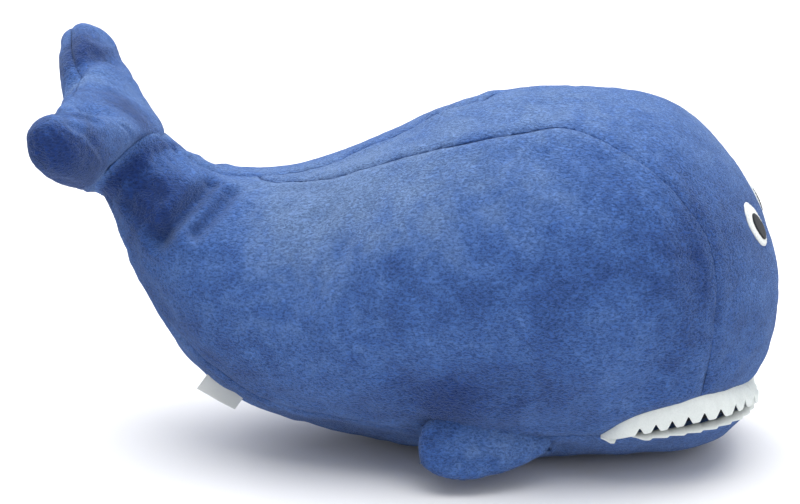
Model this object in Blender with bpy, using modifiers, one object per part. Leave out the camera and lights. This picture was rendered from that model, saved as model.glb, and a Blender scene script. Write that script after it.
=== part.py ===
"""A stuffed plush whale: sewn panels over fillings, with a jaw, flukes and fins that move at their seams.

The whale looks along +X, +Z is up, and its right side faces -Y. The origin is on the flat of the belly
that it rests on. All lengths are in metres.
"""
import math

import bmesh
import bpy
from mathutils import Matrix, Vector
from mathutils.bvhtree import BVHTree

# Overall sizes
body_length = 0.400
body_height = 0.225
body_width = 0.200
rest_place_share = 0.5375

# Cloth, felt and the gaps between pieces
panel_thickness = 0.0025
lining_thickness = 0.0020
felt_thickness = 0.0012
seam_gap = 0.0008
clearance = 0.0003
filling_gap = 0.0010
filling_facet_share = 0.5
running_gap = 0.0006
overrun = 0.300

# Mouth and jaw
upper_tooth_length = 0.0155
lower_tooth_length = 0.0055
lower_tooth_droop = 0.0045
tooth_pitch = 0.0096
tooth_band_share = 0.52
bite_gap = 0.0015
upper_tooth_start = 0.012
lower_tooth_start = 0.008
rim_ray_count = 60
jaw_relief_angle = math.radians(5)

# Tail
tail_half_span = 0.117
tail_length = 0.080
tail_root_fullness_share = 1.055
tail_rise_angle = math.radians(52)
tail_twist_angle = math.radians(4.5)
tail_thickness = 0.040
root_arc_steps = 10

# Fins
fin_length = 0.083
fin_width = 0.044
fin_thickness = 0.0145
fin_root_x = 0.054
fin_root_height = 0.028
fin_lean_angle = math.radians(56)
fin_splay_angle = math.radians(9)
fin_seat_gap = 0.0005

# Small pieces
label_length = 0.026
label_width = 0.012
label_thickness = 0.0008
label_x = -0.147
eye_height = 0.026
eye_width = 0.018
eye_thickness = 0.0012
eye_spacing = 0.058
eye_level = 0.150

# Side view of the body from the tail to the nose: the top's x and z, the bottom's x and z, the half width
body_station_shares = (
    (0.052, 0.888, -0.033, 0.719, 0.32),
    (0.079, 0.845, -0.008, 0.676, 0.32),
    (0.113, 0.802, 0.013, 0.547, 0.40),
    (0.160, 0.752, 0.060, 0.380, 0.52),
    (0.230, 0.745, 0.130, 0.205, 0.64),
    (0.315, 0.774, 0.240, 0.085, 0.76),
    (0.420, 0.855, 0.375, 0.032, 0.88),
    (0.522, 0.943, 0.508, -0.001, 0.95),
    (0.640, 0.982, 0.645, -0.004, 1.00),
    (0.755, 0.980, 0.762, 0.006, 0.99),
    (0.855, 0.935, 0.868, 0.019, 0.89),
    (0.937, 0.815, 0.946, 0.052, 0.68),
    (0.980, 0.652, 0.975, 0.230, 0.44),
    (1.000, 0.540, 0.996, 0.390, 0.20),
)
body_ring_count = 12
body_roundness = 2.2

# The flukes from the middle to a tip: place along the span, leading edge, trailing edge, half thickness
tail_station_shares = (
    (0.000, -0.38, 0.76, 0.60),
    (0.210, -0.38, 0.78, 0.60),
    (0.350, -0.04, 0.81, 0.57),
    (0.530, 0.13, 0.86, 0.56),
    (0.750, 0.35, 0.91, 0.48),
    (0.930, 0.55, 0.94, 0.30),
)
tail_ring_count = 8

# The fin from its root to its rounded end: place along it, middle, half width, half thickness
fin_station_shares = (
    (0.01, 0.00, 0.12, 0.35),
    (0.14, 0.04, 0.24, 0.65),
    (0.38, 0.10, 0.40, 0.95),
    (0.65, 0.14, 0.50, 1.00),
    (0.88, 0.14, 0.43, 0.80),
    (0.98, 0.14, 0.24, 0.50),
)
fin_ring_count = 8

# Seams in the side view, from the tail to the nose, as shares of the body's length and height
gusset_seam_shares = (
    (0.165, 0.768),
    (0.211, 0.744),
    (0.267, 0.742),
    (0.329, 0.768),
    (0.413, 0.826),
    (0.470, 0.862),
    (0.558, 0.905),
    (0.640, 0.934),
    (0.690, 0.936),
    (0.745, 0.908),
    (0.802, 0.855),
    (0.853, 0.773),
    (0.885, 0.690),
    (0.898, 0.600),
    (0.898, 0.480),
    (0.893, 0.370),
    (0.880, 0.250),
    (0.860, 0.150),
)
belly_seam_shares = (
    (-0.060, 0.800),
    (0.010, 0.620),
    (0.045, 0.500),
    (0.083, 0.400),
    (0.119, 0.345),
    (0.150, 0.301),
    (0.195, 0.241),
    (0.228, 0.205),
    (0.278, 0.180),
    (0.339, 0.162),
    (0.414, 0.141),
    (0.481, 0.122),
    (0.580, 0.125),
    (0.676, 0.143),
    (0.737, 0.144),
)
lip_shares = (
    (0.737, 0.144),
    (0.771, 0.200),
    (0.806, 0.228),
    (0.843, 0.247),
    (0.879, 0.263),
    (0.907, 0.265),
    (0.930, 0.257),
    (0.955, 0.243),
    (0.975, 0.226),
    (1.000, 0.212),
    (1.050, 0.200),
)
jaw_top_shares = (
    (0.740, 0.138),
    (0.789, 0.156),
    (0.839, 0.164),
    (0.900, 0.166),
    (1.050, 0.160),
)


def parts_collection(name):
    collection = bpy.data.collections.new(name)
    bpy.context.scene.collection.children.link(collection)
    return collection


def clear_scene():
    for obj in list(bpy.data.objects):
        bpy.data.objects.remove(obj, do_unlink=True)


clear_scene()
whale = parts_collection("plush_whale")
cutters = parts_collection("cutters")


def as_cutter(obj):
    cutters.objects.link(obj)
    obj.hide_render = True
    obj.display_type = "WIRE"
    return obj


def material(name, finish):
    colour, roughness = finish
    made = bpy.data.materials.new(name)
    made.use_nodes = True
    shader = made.node_tree.nodes["Principled BSDF"]
    shader.inputs["Base Color"].default_value = (*colour, 1)
    shader.inputs["Roughness"].default_value = roughness
    shader.inputs["Metallic"].default_value = 0
    return made


def body_point(x_share, z_share, y=0.0):
    return Vector(((x_share - rest_place_share) * body_length, y, z_share * body_height))


def soft(value, roundness):
    return math.copysign(abs(value) ** (2 / roundness), value)


def ring(centre, across, up, count, roundness=2.0):
    """Points round a soft section. Smoothing a cage draws it in, and the first line makes up for that."""
    fuller = 1 / (2 / 3 + math.cos(2 * math.pi / count) / 3)
    points = []
    for step in range(count):
        angle = 2 * math.pi * step / count
        sideways = across * soft(math.cos(angle), roundness)
        upwards = up * soft(math.sin(angle), roundness)
        points.append(centre + fuller * (sideways + upwards))
    return points


def loft_mesh(name, rings):
    """A closed cage through rings of equal count, its ends closed by one face each."""
    cage = bmesh.new()
    rows = [[cage.verts.new(point) for point in points] for points in rings]
    count = len(rows[0])
    for first, second in zip(rows, rows[1:]):
        for step in range(count):
            after = (step + 1) % count
            cage.faces.new((first[step], first[after], second[after], second[step]))
    cage.faces.new(rows[0])
    cage.faces.new(rows[-1])
    bmesh.ops.recalc_face_normals(cage, faces=cage.faces)
    mesh = bpy.data.meshes.new(name)
    cage.to_mesh(mesh)
    cage.free()
    return mesh


def evaluated_mesh(obj):
    bpy.context.view_layer.update()
    graph = bpy.context.evaluated_depsgraph_get()
    mesh = bpy.data.meshes.new_from_object(obj.evaluated_get(graph))
    mesh.transform(obj.matrix_world)
    return mesh


def soft_form(name, rings, levels=1):
    """A swelling form: the cage, subdivided and cut into triangles once, so that its copies agree."""
    cage = as_cutter(bpy.data.objects.new(name + "_cage", loft_mesh(name + "_cage", rings)))
    smooth = cage.modifiers.new("swell", "SUBSURF")
    smooth.levels = levels
    smooth.render_levels = levels
    cage.modifiers.new("facets", "TRIANGULATE")
    return as_cutter(bpy.data.objects.new(name, evaluated_mesh(cage)))


def grown(form, distance, name):
    """The form moved out along its normals by a distance, or in where the distance is negative."""
    obj = as_cutter(bpy.data.objects.new(name, form.data.copy()))
    shift = obj.modifiers.new("shift", "DISPLACE")
    shift.mid_level = 0
    shift.strength = distance
    return as_plain(obj)


def filling_form(form, distance, name):
    """The space inside a cover, in fewer facets, because no one sees a filling."""
    obj = grown(form, -distance, name)
    fewer = obj.modifiers.new("fewer", "DECIMATE")
    fewer.ratio = filling_facet_share
    fewer.use_symmetry = True
    fewer.symmetry_axis = "Y"
    return as_plain(obj)


def as_plain(obj):
    mesh = evaluated_mesh(obj)
    obj.modifiers.clear()
    obj.matrix_world = Matrix.Identity(4)
    obj.data = mesh
    return obj


def smooth_line(points, steps=4):
    """A curve through all the points, after Catmull and Rom."""
    ends = [points[0] * 2 - points[1], *points, points[-1] * 2 - points[-2]]
    line = []
    for before, start, end, after in zip(ends, ends[1:], ends[2:], ends[3:]):
        for step in range(steps):
            t = step / steps
            line.append(
                0.5 * (2 * start + (end - before) * t + (2 * before - 5 * start + 4 * end - after) * t**2
                       + (3 * start - before - 3 * end + after) * t**3)
            )
    return [*line, points[-1]]


def side_line(shares, steps=4):
    return smooth_line([body_point(x, z) for x, z in shares], steps)


def shifted(line, distance):
    """A side-view line moved to the left of its direction by a distance."""
    moved = []
    for place, point in enumerate(line):
        before = line[max(place - 1, 0)]
        after = line[min(place + 1, len(line) - 1)]
        along = (after - before).normalized()
        moved.append(point + Vector((-along.z, 0, along.x)) * distance)
    return moved


def prism(name, outline, y_from=-overrun, y_to=overrun):
    """A side-view outline extruded across the whale."""
    curve = bpy.data.curves.new(name, "CURVE")
    curve.dimensions = "2D"
    curve.fill_mode = "BOTH"
    curve.extrude = (y_to - y_from) / 2
    spline = curve.splines.new("POLY")
    spline.points.add(len(outline) - 1)
    for point, place in zip(spline.points, outline):
        point.co = (place.x, place.z, 0, 1)
    spline.use_cyclic_u = True
    obj = bpy.data.objects.new(name + "_outline", curve)
    obj.rotation_euler = (math.pi / 2, 0, 0)
    obj.location = (0, (y_from + y_to) / 2, 0)
    cutters.objects.link(obj)
    mesh = evaluated_mesh(obj)
    bpy.data.objects.remove(obj, do_unlink=True)
    welded = bmesh.new()
    welded.from_mesh(mesh)
    bmesh.ops.remove_doubles(welded, verts=welded.verts, dist=clearance / 100)
    bmesh.ops.recalc_face_normals(welded, faces=welded.faces)
    welded.to_mesh(mesh)
    welded.free()
    return as_cutter(bpy.data.objects.new(name, mesh))


def unlinked(name):
    """The object just added, taken out of the scene's own collection."""
    obj = bpy.context.object
    obj.name = name
    for collection in list(obj.users_collection):
        collection.objects.unlink(obj)
    return obj


def half_space(name, place, outward):
    """A block whose one face passes through the place, filling the side that outward points to."""
    bpy.ops.mesh.primitive_cube_add(size=2 * overrun)
    obj = unlinked(name)
    outward = outward.normalized()
    turned = outward.to_track_quat("Z", "Y").to_matrix().to_4x4()
    obj.matrix_world = Matrix.Translation(place + outward * overrun) @ turned
    return as_cutter(obj)


def piece(name, mesh_from, finish, steps):
    """A named part: a form's mesh with Boolean steps, each an operation and its cutter."""
    obj = bpy.data.objects.new(name, mesh_from.data.copy())
    obj.data.materials.clear()
    obj.data.materials.append(material(name + "_finish", finish))
    whale.objects.link(obj)
    for operation, cutter in steps:
        cut = obj.modifiers.new(cutter.name, "BOOLEAN")
        cut.operation = operation
        cut.solver = "EXACT"
        cut.object = cutter
    return obj


plush = ((0.100, 0.190, 0.450), 0.85)
lining = ((0.040, 0.060, 0.110), 0.90)
felt = ((0.800, 0.800, 0.780), 0.90)
satin = ((0.720, 0.720, 0.700), 0.50)
fibre = ((0.850, 0.850, 0.830), 0.95)


def body_rings():
    rings = []
    for top_x, top_z, bottom_x, bottom_z, width in body_station_shares:
        top = body_point(top_x, top_z)
        bottom = body_point(bottom_x, bottom_z)
        across = Vector((0, -width * body_width / 2, 0))
        middle, up = (top + bottom) / 2, (top - bottom) / 2
        rings.append(ring(middle, across, up, body_ring_count, body_roundness))
    return rings


tail_along = Vector((-math.cos(tail_rise_angle), 0, math.sin(tail_rise_angle)))
tail_normal = Vector((math.sin(tail_rise_angle), 0, math.cos(tail_rise_angle)))
tail_twist = Matrix.Rotation(tail_twist_angle, 3, tail_normal + Vector((0, 0, 1)))
tail_root = (body_point(*body_station_shares[1][0:2]) + body_point(*body_station_shares[1][2:4])) / 2


def tail_rings():
    """The flukes' sections. As in the photograph, the whole pad is twisted a little to one side."""
    half = []
    for span, lead, trail, thickness in tail_station_shares:
        y = span * tail_half_span
        centre = tail_root + tail_along * (lead + trail) / 2 * tail_length
        across = tail_along * (trail - lead) / 2 * tail_length
        up = tail_normal * thickness * tail_thickness
        half.append((y, centre, across, up))
    whole = [(-y, centre, across, up) for y, centre, across, up in reversed(half[1:])] + half
    rings = []
    for y, centre, across, up in whole:
        turned = tail_root + tail_twist @ (centre + Vector((0, y, 0)) - tail_root)
        rings.append(ring(turned, tail_twist @ across, tail_twist @ up, tail_ring_count))
    return rings


def fin_axes():
    chord = Vector((0, -math.cos(fin_lean_angle), -math.sin(fin_lean_angle)))
    normal = Vector((0, -math.sin(fin_lean_angle), math.cos(fin_lean_angle)))
    along = Vector((-math.cos(fin_splay_angle), 0, 0)) + normal * math.sin(fin_splay_angle)
    return along, chord, chord.cross(along) * -1


def fin_rings(root, inset=0.0):
    """The fin's sections from root to end, or those of its inside, drawn in by a distance all round."""
    along, chord, normal = fin_axes()
    rings = []
    for place, middle, width, thickness in fin_station_shares:
        half_width = width * fin_width - inset
        half_thickness = thickness * fin_thickness / 2 - inset
        if min(half_width, half_thickness) <= 0:
            continue
        place_along = min(place * fin_length, fin_station_shares[-1][0] * fin_length - inset)
        centre = root + along * place_along + chord * middle * fin_width
        rings.append(ring(centre, chord * half_width, normal * half_thickness, fin_ring_count))
    return rings


def tree_of(form):
    points = [vertex.co for vertex in form.data.vertices]
    faces = [tuple(face.vertices) for face in form.data.polygons]
    return BVHTree.FromPolygons(points, faces)


def height_at(line, x):
    for start, end in zip(line, line[1:]):
        if start.x <= x <= end.x:
            return start.z + (end.z - start.z) * (x - start.x) / (end.x - start.x)
    return line[-1].z if x > line[-1].x else line[0].z


def right_side_point(tree, x, z):
    """Where a line across the whale at this place comes to its right side."""
    return tree.ray_cast(Vector((x, -overrun, z)), Vector((0, 1, 0)))[0]


def rim_path(tree, start_x, line):
    """A path round the form's front, right side to left, at the height of a side-view line."""
    fine = []
    for step in range(rim_ray_count + 1):
        angle = -math.pi / 2 + math.pi * step / rim_ray_count
        direction = Vector((math.cos(angle), math.sin(angle), 0))
        point = Vector((start_x, 0, 0))
        for _ in range(3):
            point = tree.ray_cast(Vector((start_x, 0, height_at(line, point.x))), direction)[0]
        fine.append(point)
    return fine


def spaced(path, count):
    """The path's points at even steps along it."""
    lengths = [0.0]
    for start, end in zip(path, path[1:]):
        lengths.append(lengths[-1] + (end - start).length)
    points = []
    place = 0
    for step in range(count + 1):
        wanted = lengths[-1] * step / count
        while place < len(path) - 2 and lengths[place + 1] < wanted:
            place += 1
        part_way = (wanted - lengths[place]) / (lengths[place + 1] - lengths[place])
        points.append(path[place].lerp(path[place + 1], part_way))
    return points


def path_length(path):
    return sum((end - start).length for start, end in zip(path, path[1:]))


def outward_at(points, place):
    before = points[max(place - 1, 0)]
    after = points[min(place + 1, len(points) - 1)]
    along = (after - before).normalized()
    return Vector((along.y, -along.x, 0)).normalized()


def felt_strip(name, rows):
    """A strip of felt from columns of points, each column listed from the sewn edge to the free edge."""
    surface = bmesh.new()
    columns = [[surface.verts.new(point) for point in row] for row in rows]
    for place, (first, second) in enumerate(zip(columns, columns[1:])):
        for upper in range(len(first) - 2):
            surface.faces.new((first[upper], first[upper + 1], second[upper + 1], second[upper]))
        tip = second if place % 2 == 0 else first
        surface.faces.new((first[-2], tip[-1], second[-2]))
    loose = [vert for vert in surface.verts if not vert.link_faces]
    bmesh.ops.delete(surface, geom=loose, context="VERTS")
    mesh = bpy.data.meshes.new(name)
    surface.to_mesh(mesh)
    surface.free()
    obj = bpy.data.objects.new(name, mesh)
    mesh.materials.append(material(name + "_finish", felt))
    whale.objects.link(obj)
    wall = obj.modifiers.new("thickness", "SOLIDIFY")
    wall.thickness = felt_thickness
    wall.offset = -1
    wall.use_even_offset = True
    return obj


def mirrored(obj, name):
    """The other side's piece: the finished mesh of this one, turned over the middle plane."""
    mesh = evaluated_mesh(obj)
    mesh.transform(Matrix.Scale(-1, 4, Vector((0, 1, 0))))
    mesh.flip_normals()
    mesh.name = name
    mesh.materials[0] = mesh.materials[0].copy()
    mesh.materials[0].name = name + "_finish"
    other = bpy.data.objects.new(name, mesh)
    whale.objects.link(other)
    return other


# Forms
whole_form = soft_form("body_form", body_rings())
tail_form = soft_form("tail_form", tail_rings())
skin_tree = tree_of(whole_form)
inside_panel = grown(whole_form, -panel_thickness, "body_inside")
inside_skin = grown(whole_form, -panel_thickness - clearance, "body_inner_form")
inside_filling = filling_form(whole_form, panel_thickness + filling_gap, "body_filling_form")
inside_teeth = grown(whole_form, -panel_thickness - felt_thickness - 3 * clearance, "mouth_lining_form")
outside_skin = grown(whole_form, fin_seat_gap, "body_clearance_form")

# Side-view lines and the regions that they bound
gusset_line = side_line(gusset_seam_shares, 3)
belly_line = side_line(belly_seam_shares, 3)
lip_line = side_line(lip_shares, 3)
jaw_top_line = side_line(jaw_top_shares, 3)
corner = belly_line[-1]
far = overrun


def corners(*places):
    """Corners of a side-view outline, each given by its x and z."""
    return [Vector((x, 0, z)) for x, z in places]


def gusset_region():
    line = shifted(gusset_line, seam_gap / 2)
    beyond = corners((far, line[-1].z), (far, far), (line[0].x, far))
    return prism("gusset_region", [*line, *beyond])


def side_region(name, y_from, y_to):
    upper = shifted(gusset_line, -seam_gap / 2)
    lower = shifted(belly_line, seam_gap / 2)
    beyond = corners((-far, lower[0].z), (-far, far), (upper[0].x, far))
    return prism(name, [*upper, *reversed(lower), *beyond], y_from, y_to)


def belly_region():
    line = shifted(belly_line, -seam_gap / 2)
    return prism("belly_region", [*line, *corners((corner.x, -far), (-far, -far), (-far, line[0].z))])


def below_lip(name, raised):
    line = shifted(lip_line, raised)
    return prism(name, [*line, *corners((far, line[-1].z), (far, -far), (line[0].x, -far))])


def band(name, line, thickness):
    return prism(name, [*line, *reversed(shifted(line, thickness))])


def jaw_line(lowered):
    """The jaw's top line, from the point where its back face comes up to it."""
    back_x = corner.x + running_gap + corner.z * math.tan(jaw_relief_angle)
    line = [point for point in jaw_top_line if point.x > back_x]
    start = Vector((back_x, 0, height_at(jaw_top_line, back_x)))
    return shifted([start, *line], -lowered)


def jaw_region(name, lowered):
    line = jaw_line(lowered)
    foot_x = corner.x + running_gap
    below = corners((far, line[-1].z), (far, -far), (foot_x, -far))
    return prism(name, [*corners((foot_x, 0)), *line, *below])


# The tail's seam is a round end in a hollow, seen from the side, so that the tail can bend there
neck_top = body_point(*body_station_shares[1][0:2])
neck_bottom = body_point(*body_station_shares[1][2:4])
neck_up = (neck_top - neck_bottom).normalized()
neck_along = Vector((-neck_up.z, 0, neck_up.x))
neck_half = (neck_top - neck_bottom).length / 2
tail_root_radius = neck_half * tail_root_fullness_share
tail_hinge = tail_root + neck_along * math.sqrt(tail_root_radius**2 - neck_half**2)


def root_arc(radius, set_off):
    """The round end, between lips that lie on the neck's plane moved along by a distance."""
    reach = math.asin(neck_half / tail_root_radius)
    arc = []
    for step in range(root_arc_steps + 1):
        angle = reach * (2 * step / root_arc_steps - 1)
        arc.append(tail_hinge + radius * (neck_up * math.sin(angle) - neck_along * math.cos(angle)))
    lips = tail_root + neck_along * set_off
    return [lips - neck_up * far, *arc, lips + neck_up * far]


def beyond_root(name):
    line = root_arc(tail_root_radius + running_gap / 2, 0)
    return prism(name, [*line, line[-1] + neck_along * far, line[0] + neck_along * far])


def before_root(name):
    line = root_arc(tail_root_radius - running_gap / 2, running_gap)
    return prism(name, [*line, line[-1] - neck_along * far, line[0] - neck_along * far])


floor_block = half_space("floor_block", Vector((0, 0, 0)), Vector((0, 0, -1)))
lip_cut = below_lip("below_lip", 0)
root_cut = beyond_root("beyond_root")


def make_body():
    piece("right_side_panel", whole_form, plush, [
        ("INTERSECT", side_region("right_side_region", -far, -seam_gap / 2)),
        ("DIFFERENCE", inside_panel), ("DIFFERENCE", lip_cut), ("DIFFERENCE", root_cut)])
    piece("left_side_panel", whole_form, plush, [
        ("INTERSECT", side_region("left_side_region", seam_gap / 2, far)),
        ("DIFFERENCE", inside_panel), ("DIFFERENCE", lip_cut), ("DIFFERENCE", root_cut)])
    piece("back_gusset", whole_form, plush, [
        ("INTERSECT", gusset_region()), ("DIFFERENCE", inside_panel), ("DIFFERENCE", lip_cut)])
    piece("belly_panel", whole_form, plush, [
        ("INTERSECT", belly_region()), ("DIFFERENCE", inside_panel), ("DIFFERENCE", floor_block),
        ("DIFFERENCE", root_cut)])
    piece("palate_lining", inside_teeth, lining, [
        ("INTERSECT", band("palate_band", lip_line, lining_thickness))])
    palate_cut = below_lip("palate_cut", lining_thickness + 3 * clearance)
    piece("body_filling", inside_filling, fibre, [("DIFFERENCE", palate_cut), ("DIFFERENCE", root_cut)])


def make_jaw():
    piece("jaw_underside_panel", whole_form, plush, [
        ("INTERSECT", jaw_region("jaw_shell_region", felt_thickness + clearance)),
        ("DIFFERENCE", inside_panel), ("DIFFERENCE", floor_block)])
    piece("jaw_floor_lining", inside_skin, lining, [
        ("INTERSECT", band("jaw_floor_band", jaw_line(0), -lining_thickness))])
    piece("jaw_filling", inside_filling, fibre, [
        ("INTERSECT", jaw_region("jaw_filling_region", lining_thickness + clearance))])


def make_upper_teeth():
    tree = tree_of(inside_skin)
    start_x = corner.x + upper_tooth_start
    path = rim_path(tree, start_x, lip_line)
    sewn_path = rim_path(tree, start_x, shifted(lip_line, lining_thickness - clearance))
    count = 2 * round(path_length(path) / tooth_pitch)
    rows = []
    for point, sewn in zip(spaced(path, count), spaced(sewn_path, count)):
        lip = height_at(lip_line, point.x)
        room = lip - height_at(jaw_top_line, point.x) - bite_gap
        length = min(upper_tooth_length, room)
        column = [lip, lip - length * tooth_band_share, lip - length]
        rows.append([sewn, *(Vector((point.x, point.y, height)) for height in column)])
    return felt_strip("upper_teeth", rows)


def make_lower_teeth():
    path = rim_path(skin_tree, corner.x + lower_tooth_start, jaw_top_line)
    count = 2 * round(path_length(path) / tooth_pitch)
    points = spaced(path, count)
    rows = []
    for place, point in enumerate(points):
        outward = outward_at(points, place)
        top = Vector((point.x, point.y, height_at(jaw_top_line, point.x)))
        edge = top + outward * felt_thickness - Vector((0, 0, felt_thickness / 2))
        tip = top + outward * lower_tooth_length - Vector((0, 0, lower_tooth_droop))
        rows.append([top - outward * panel_thickness, top, edge, tip])
    return felt_strip("lower_teeth", rows)


def make_tail():
    tail_inside = grown(tail_form, -panel_thickness, "tail_inside")
    tail_filling_form = filling_form(tail_form, panel_thickness + filling_gap, "tail_filling_form")
    root_side = before_root("before_root")
    facing = tail_twist @ tail_normal
    half_gap = facing * seam_gap / 2
    piece("tail_upper_panel", tail_form, plush, [
        ("INTERSECT", half_space("tail_upper_region", tail_root + half_gap, facing)),
        ("DIFFERENCE", tail_inside), ("DIFFERENCE", root_side)])
    piece("tail_lower_panel", tail_form, plush, [
        ("INTERSECT", half_space("tail_lower_region", tail_root - half_gap, -facing)),
        ("DIFFERENCE", tail_inside), ("DIFFERENCE", root_side)])
    piece("tail_filling", tail_filling_form, fibre, [("DIFFERENCE", root_side)])


def make_fins():
    root = right_side_point(skin_tree, fin_root_x, fin_root_height)
    form = soft_form("fin_form", fin_rings(root))
    fin_inside = soft_form("fin_inside", fin_rings(root, panel_thickness))
    fin_filling_form = soft_form("fin_filling_form", fin_rings(root, panel_thickness + filling_gap))
    normal = fin_axes()[2]
    half_gap = normal * seam_gap / 2
    right = [
        piece("right_fin_outer_panel", form, plush, [
            ("INTERSECT", half_space("fin_outer_region", root + half_gap, normal)),
            ("DIFFERENCE", fin_inside), ("DIFFERENCE", outside_skin)]),
        piece("right_fin_inner_panel", form, plush, [
            ("INTERSECT", half_space("fin_inner_region", root - half_gap, -normal)),
            ("DIFFERENCE", fin_inside), ("DIFFERENCE", outside_skin)]),
        piece("right_fin_filling", fin_filling_form, fibre, [("DIFFERENCE", outside_skin)]),
    ]
    for obj in right:
        mirrored(obj, obj.name.replace("right", "left"))


def make_label():
    """The label stands in the middle of the belly, along the line of its lowest points."""
    ends = []
    for side in (-1, 1):
        below = Vector((label_x + side * label_length / 2, 0, -far))
        ends.append(skin_tree.ray_cast(below, Vector((0, 0, 1)))[0])
    along = (ends[1] - ends[0]).normalized()
    across = Vector((0, 1, 0))
    outward = along.cross(across)
    bpy.ops.mesh.primitive_cube_add(size=1)
    block = unlinked("label_block")
    size = Matrix.Diagonal((label_length, label_thickness, 2 * label_width, 1))
    axes = Matrix((along, across, outward)).transposed().to_4x4()
    block.data.transform(Matrix.Translation((ends[0] + ends[1]) / 2) @ axes @ size)
    as_cutter(block)
    piece("care_label", block, satin, [("DIFFERENCE", grown(whole_form, clearance, "label_seat_form"))])


def make_eyes():
    upper = grown(whole_form, clearance + eye_thickness, "eye_outer_form")
    lower = grown(whole_form, clearance, "eye_inner_form")
    for name, side in (("right_eye", -1), ("left_eye", 1)):
        bpy.ops.mesh.primitive_cylinder_add(vertices=24, radius=1, depth=1)
        rod = unlinked(name + "_outline")
        rod.data.transform(Matrix.Rotation(math.pi / 2, 4, "Y"))
        rod.data.transform(Matrix.Diagonal((far, eye_width / 2, eye_height / 2, 1)))
        rod.data.transform(Matrix.Translation((corner.x + far / 2, side * eye_spacing / 2, eye_level)))
        as_cutter(rod)
        piece(name, upper, felt, [("INTERSECT", rod), ("DIFFERENCE", lower)])


make_body()
make_jaw()
make_upper_teeth()
make_lower_teeth()
make_tail()
make_fins()
make_label()
make_eyes()
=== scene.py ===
"""Dresses the packed plush whale: sewn plush over a stuffed form, felt teeth, a satin label and a pale stage."""

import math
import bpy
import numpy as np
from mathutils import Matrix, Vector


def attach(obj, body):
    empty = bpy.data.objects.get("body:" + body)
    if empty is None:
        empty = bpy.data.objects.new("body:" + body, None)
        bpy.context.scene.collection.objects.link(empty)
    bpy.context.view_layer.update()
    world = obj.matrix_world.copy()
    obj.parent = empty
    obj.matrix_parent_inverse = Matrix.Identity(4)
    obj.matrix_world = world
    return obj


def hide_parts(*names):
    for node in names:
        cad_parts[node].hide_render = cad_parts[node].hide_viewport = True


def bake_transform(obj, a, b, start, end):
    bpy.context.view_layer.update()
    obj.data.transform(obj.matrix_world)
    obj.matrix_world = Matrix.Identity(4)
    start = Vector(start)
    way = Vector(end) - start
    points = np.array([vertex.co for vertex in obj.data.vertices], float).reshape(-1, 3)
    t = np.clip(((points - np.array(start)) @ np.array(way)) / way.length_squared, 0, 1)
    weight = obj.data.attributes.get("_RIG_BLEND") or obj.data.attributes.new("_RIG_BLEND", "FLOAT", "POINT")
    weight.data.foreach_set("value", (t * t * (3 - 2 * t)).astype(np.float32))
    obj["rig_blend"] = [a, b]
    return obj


bl_info = {
    "name": "Plush whale",
    "version": (1, 0, 0),
    "blender": (4, 5, 0),
    "location": "3D View > Sidebar > Plush whale",
    "description": "Sews the plush, felt and satin pieces of a stuffed whale round its packed frame",
    "category": "Mesh",
}

import bmesh
import bpy
import numpy as np
from bpy.props import FloatProperty, FloatVectorProperty, IntProperty, PointerProperty
from bpy.types import Operator, Panel, PropertyGroup
from mathutils import Matrix, Vector, noise
from mathutils.bvhtree import BVHTree
from mathutils.kdtree import KDTree

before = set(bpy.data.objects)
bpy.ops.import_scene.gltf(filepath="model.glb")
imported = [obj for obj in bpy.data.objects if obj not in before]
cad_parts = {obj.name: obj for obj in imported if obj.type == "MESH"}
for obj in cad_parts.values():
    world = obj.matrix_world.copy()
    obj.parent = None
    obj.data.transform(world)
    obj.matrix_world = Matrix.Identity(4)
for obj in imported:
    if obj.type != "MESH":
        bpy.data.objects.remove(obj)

# The whale's sections, as the packed solids have them: the body's size, then each section's place in it
BODY_LENGTH = 0.400
BODY_HEIGHT = 0.225
BODY_WIDTH = 0.200
REST_SHARE = 0.5375
BODY_STATIONS = (
    (0.025, 0.931, -0.058, 0.762, 0.32),
    (0.052, 0.888, -0.033, 0.719, 0.32),
    (0.079, 0.845, -0.008, 0.676, 0.32),
    (0.113, 0.802, 0.013, 0.547, 0.40),
    (0.160, 0.752, 0.060, 0.380, 0.52),
    (0.230, 0.745, 0.130, 0.205, 0.64),
    (0.315, 0.774, 0.240, 0.085, 0.76),
    (0.420, 0.855, 0.375, 0.032, 0.88),
    (0.522, 0.943, 0.508, -0.001, 0.95),
    (0.640, 0.982, 0.645, -0.004, 1.00),
    (0.755, 0.980, 0.762, 0.006, 0.99),
    (0.855, 0.935, 0.868, 0.019, 0.89),
    (0.937, 0.815, 0.946, 0.052, 0.68),
    (0.980, 0.652, 0.975, 0.230, 0.44),
    (1.000, 0.540, 0.996, 0.390, 0.20),
)
BODY_RING_COUNT = 12
BODY_ROUNDNESS = 2.2
TAIL_HALF_SPAN = 0.117
TAIL_LENGTH = 0.080
TAIL_THICKNESS = 0.040
TAIL_RISE = math.radians(52)
TAIL_TWIST = math.radians(4.5)
TAIL_STATIONS = (
    (0.000, -0.38, 0.73, 0.60),
    (0.210, -0.38, 0.74, 0.60),
    (0.350, -0.04, 0.78, 0.57),
    (0.530, 0.13, 0.86, 0.56),
    (0.750, 0.35, 0.91, 0.48),
    (0.930, 0.55, 0.94, 0.30),
)
FIN_LENGTH = 0.083
FIN_WIDTH = 0.044
FIN_THICKNESS = 0.0145
FIN_ROOT = Vector((0.054, -0.0701, 0.028))
FIN_LEAN = math.radians(56)
FIN_SPLAY = math.radians(9)
FIN_STATIONS = (
    (0.01, 0.00, 0.12, 0.35),
    (0.14, 0.04, 0.24, 0.65),
    (0.38, 0.10, 0.40, 0.95),
    (0.65, 0.14, 0.50, 1.00),
    (0.88, 0.14, 0.43, 0.80),
    (0.98, 0.14, 0.24, 0.50),
)
PAD_RING_COUNT = 8

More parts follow.
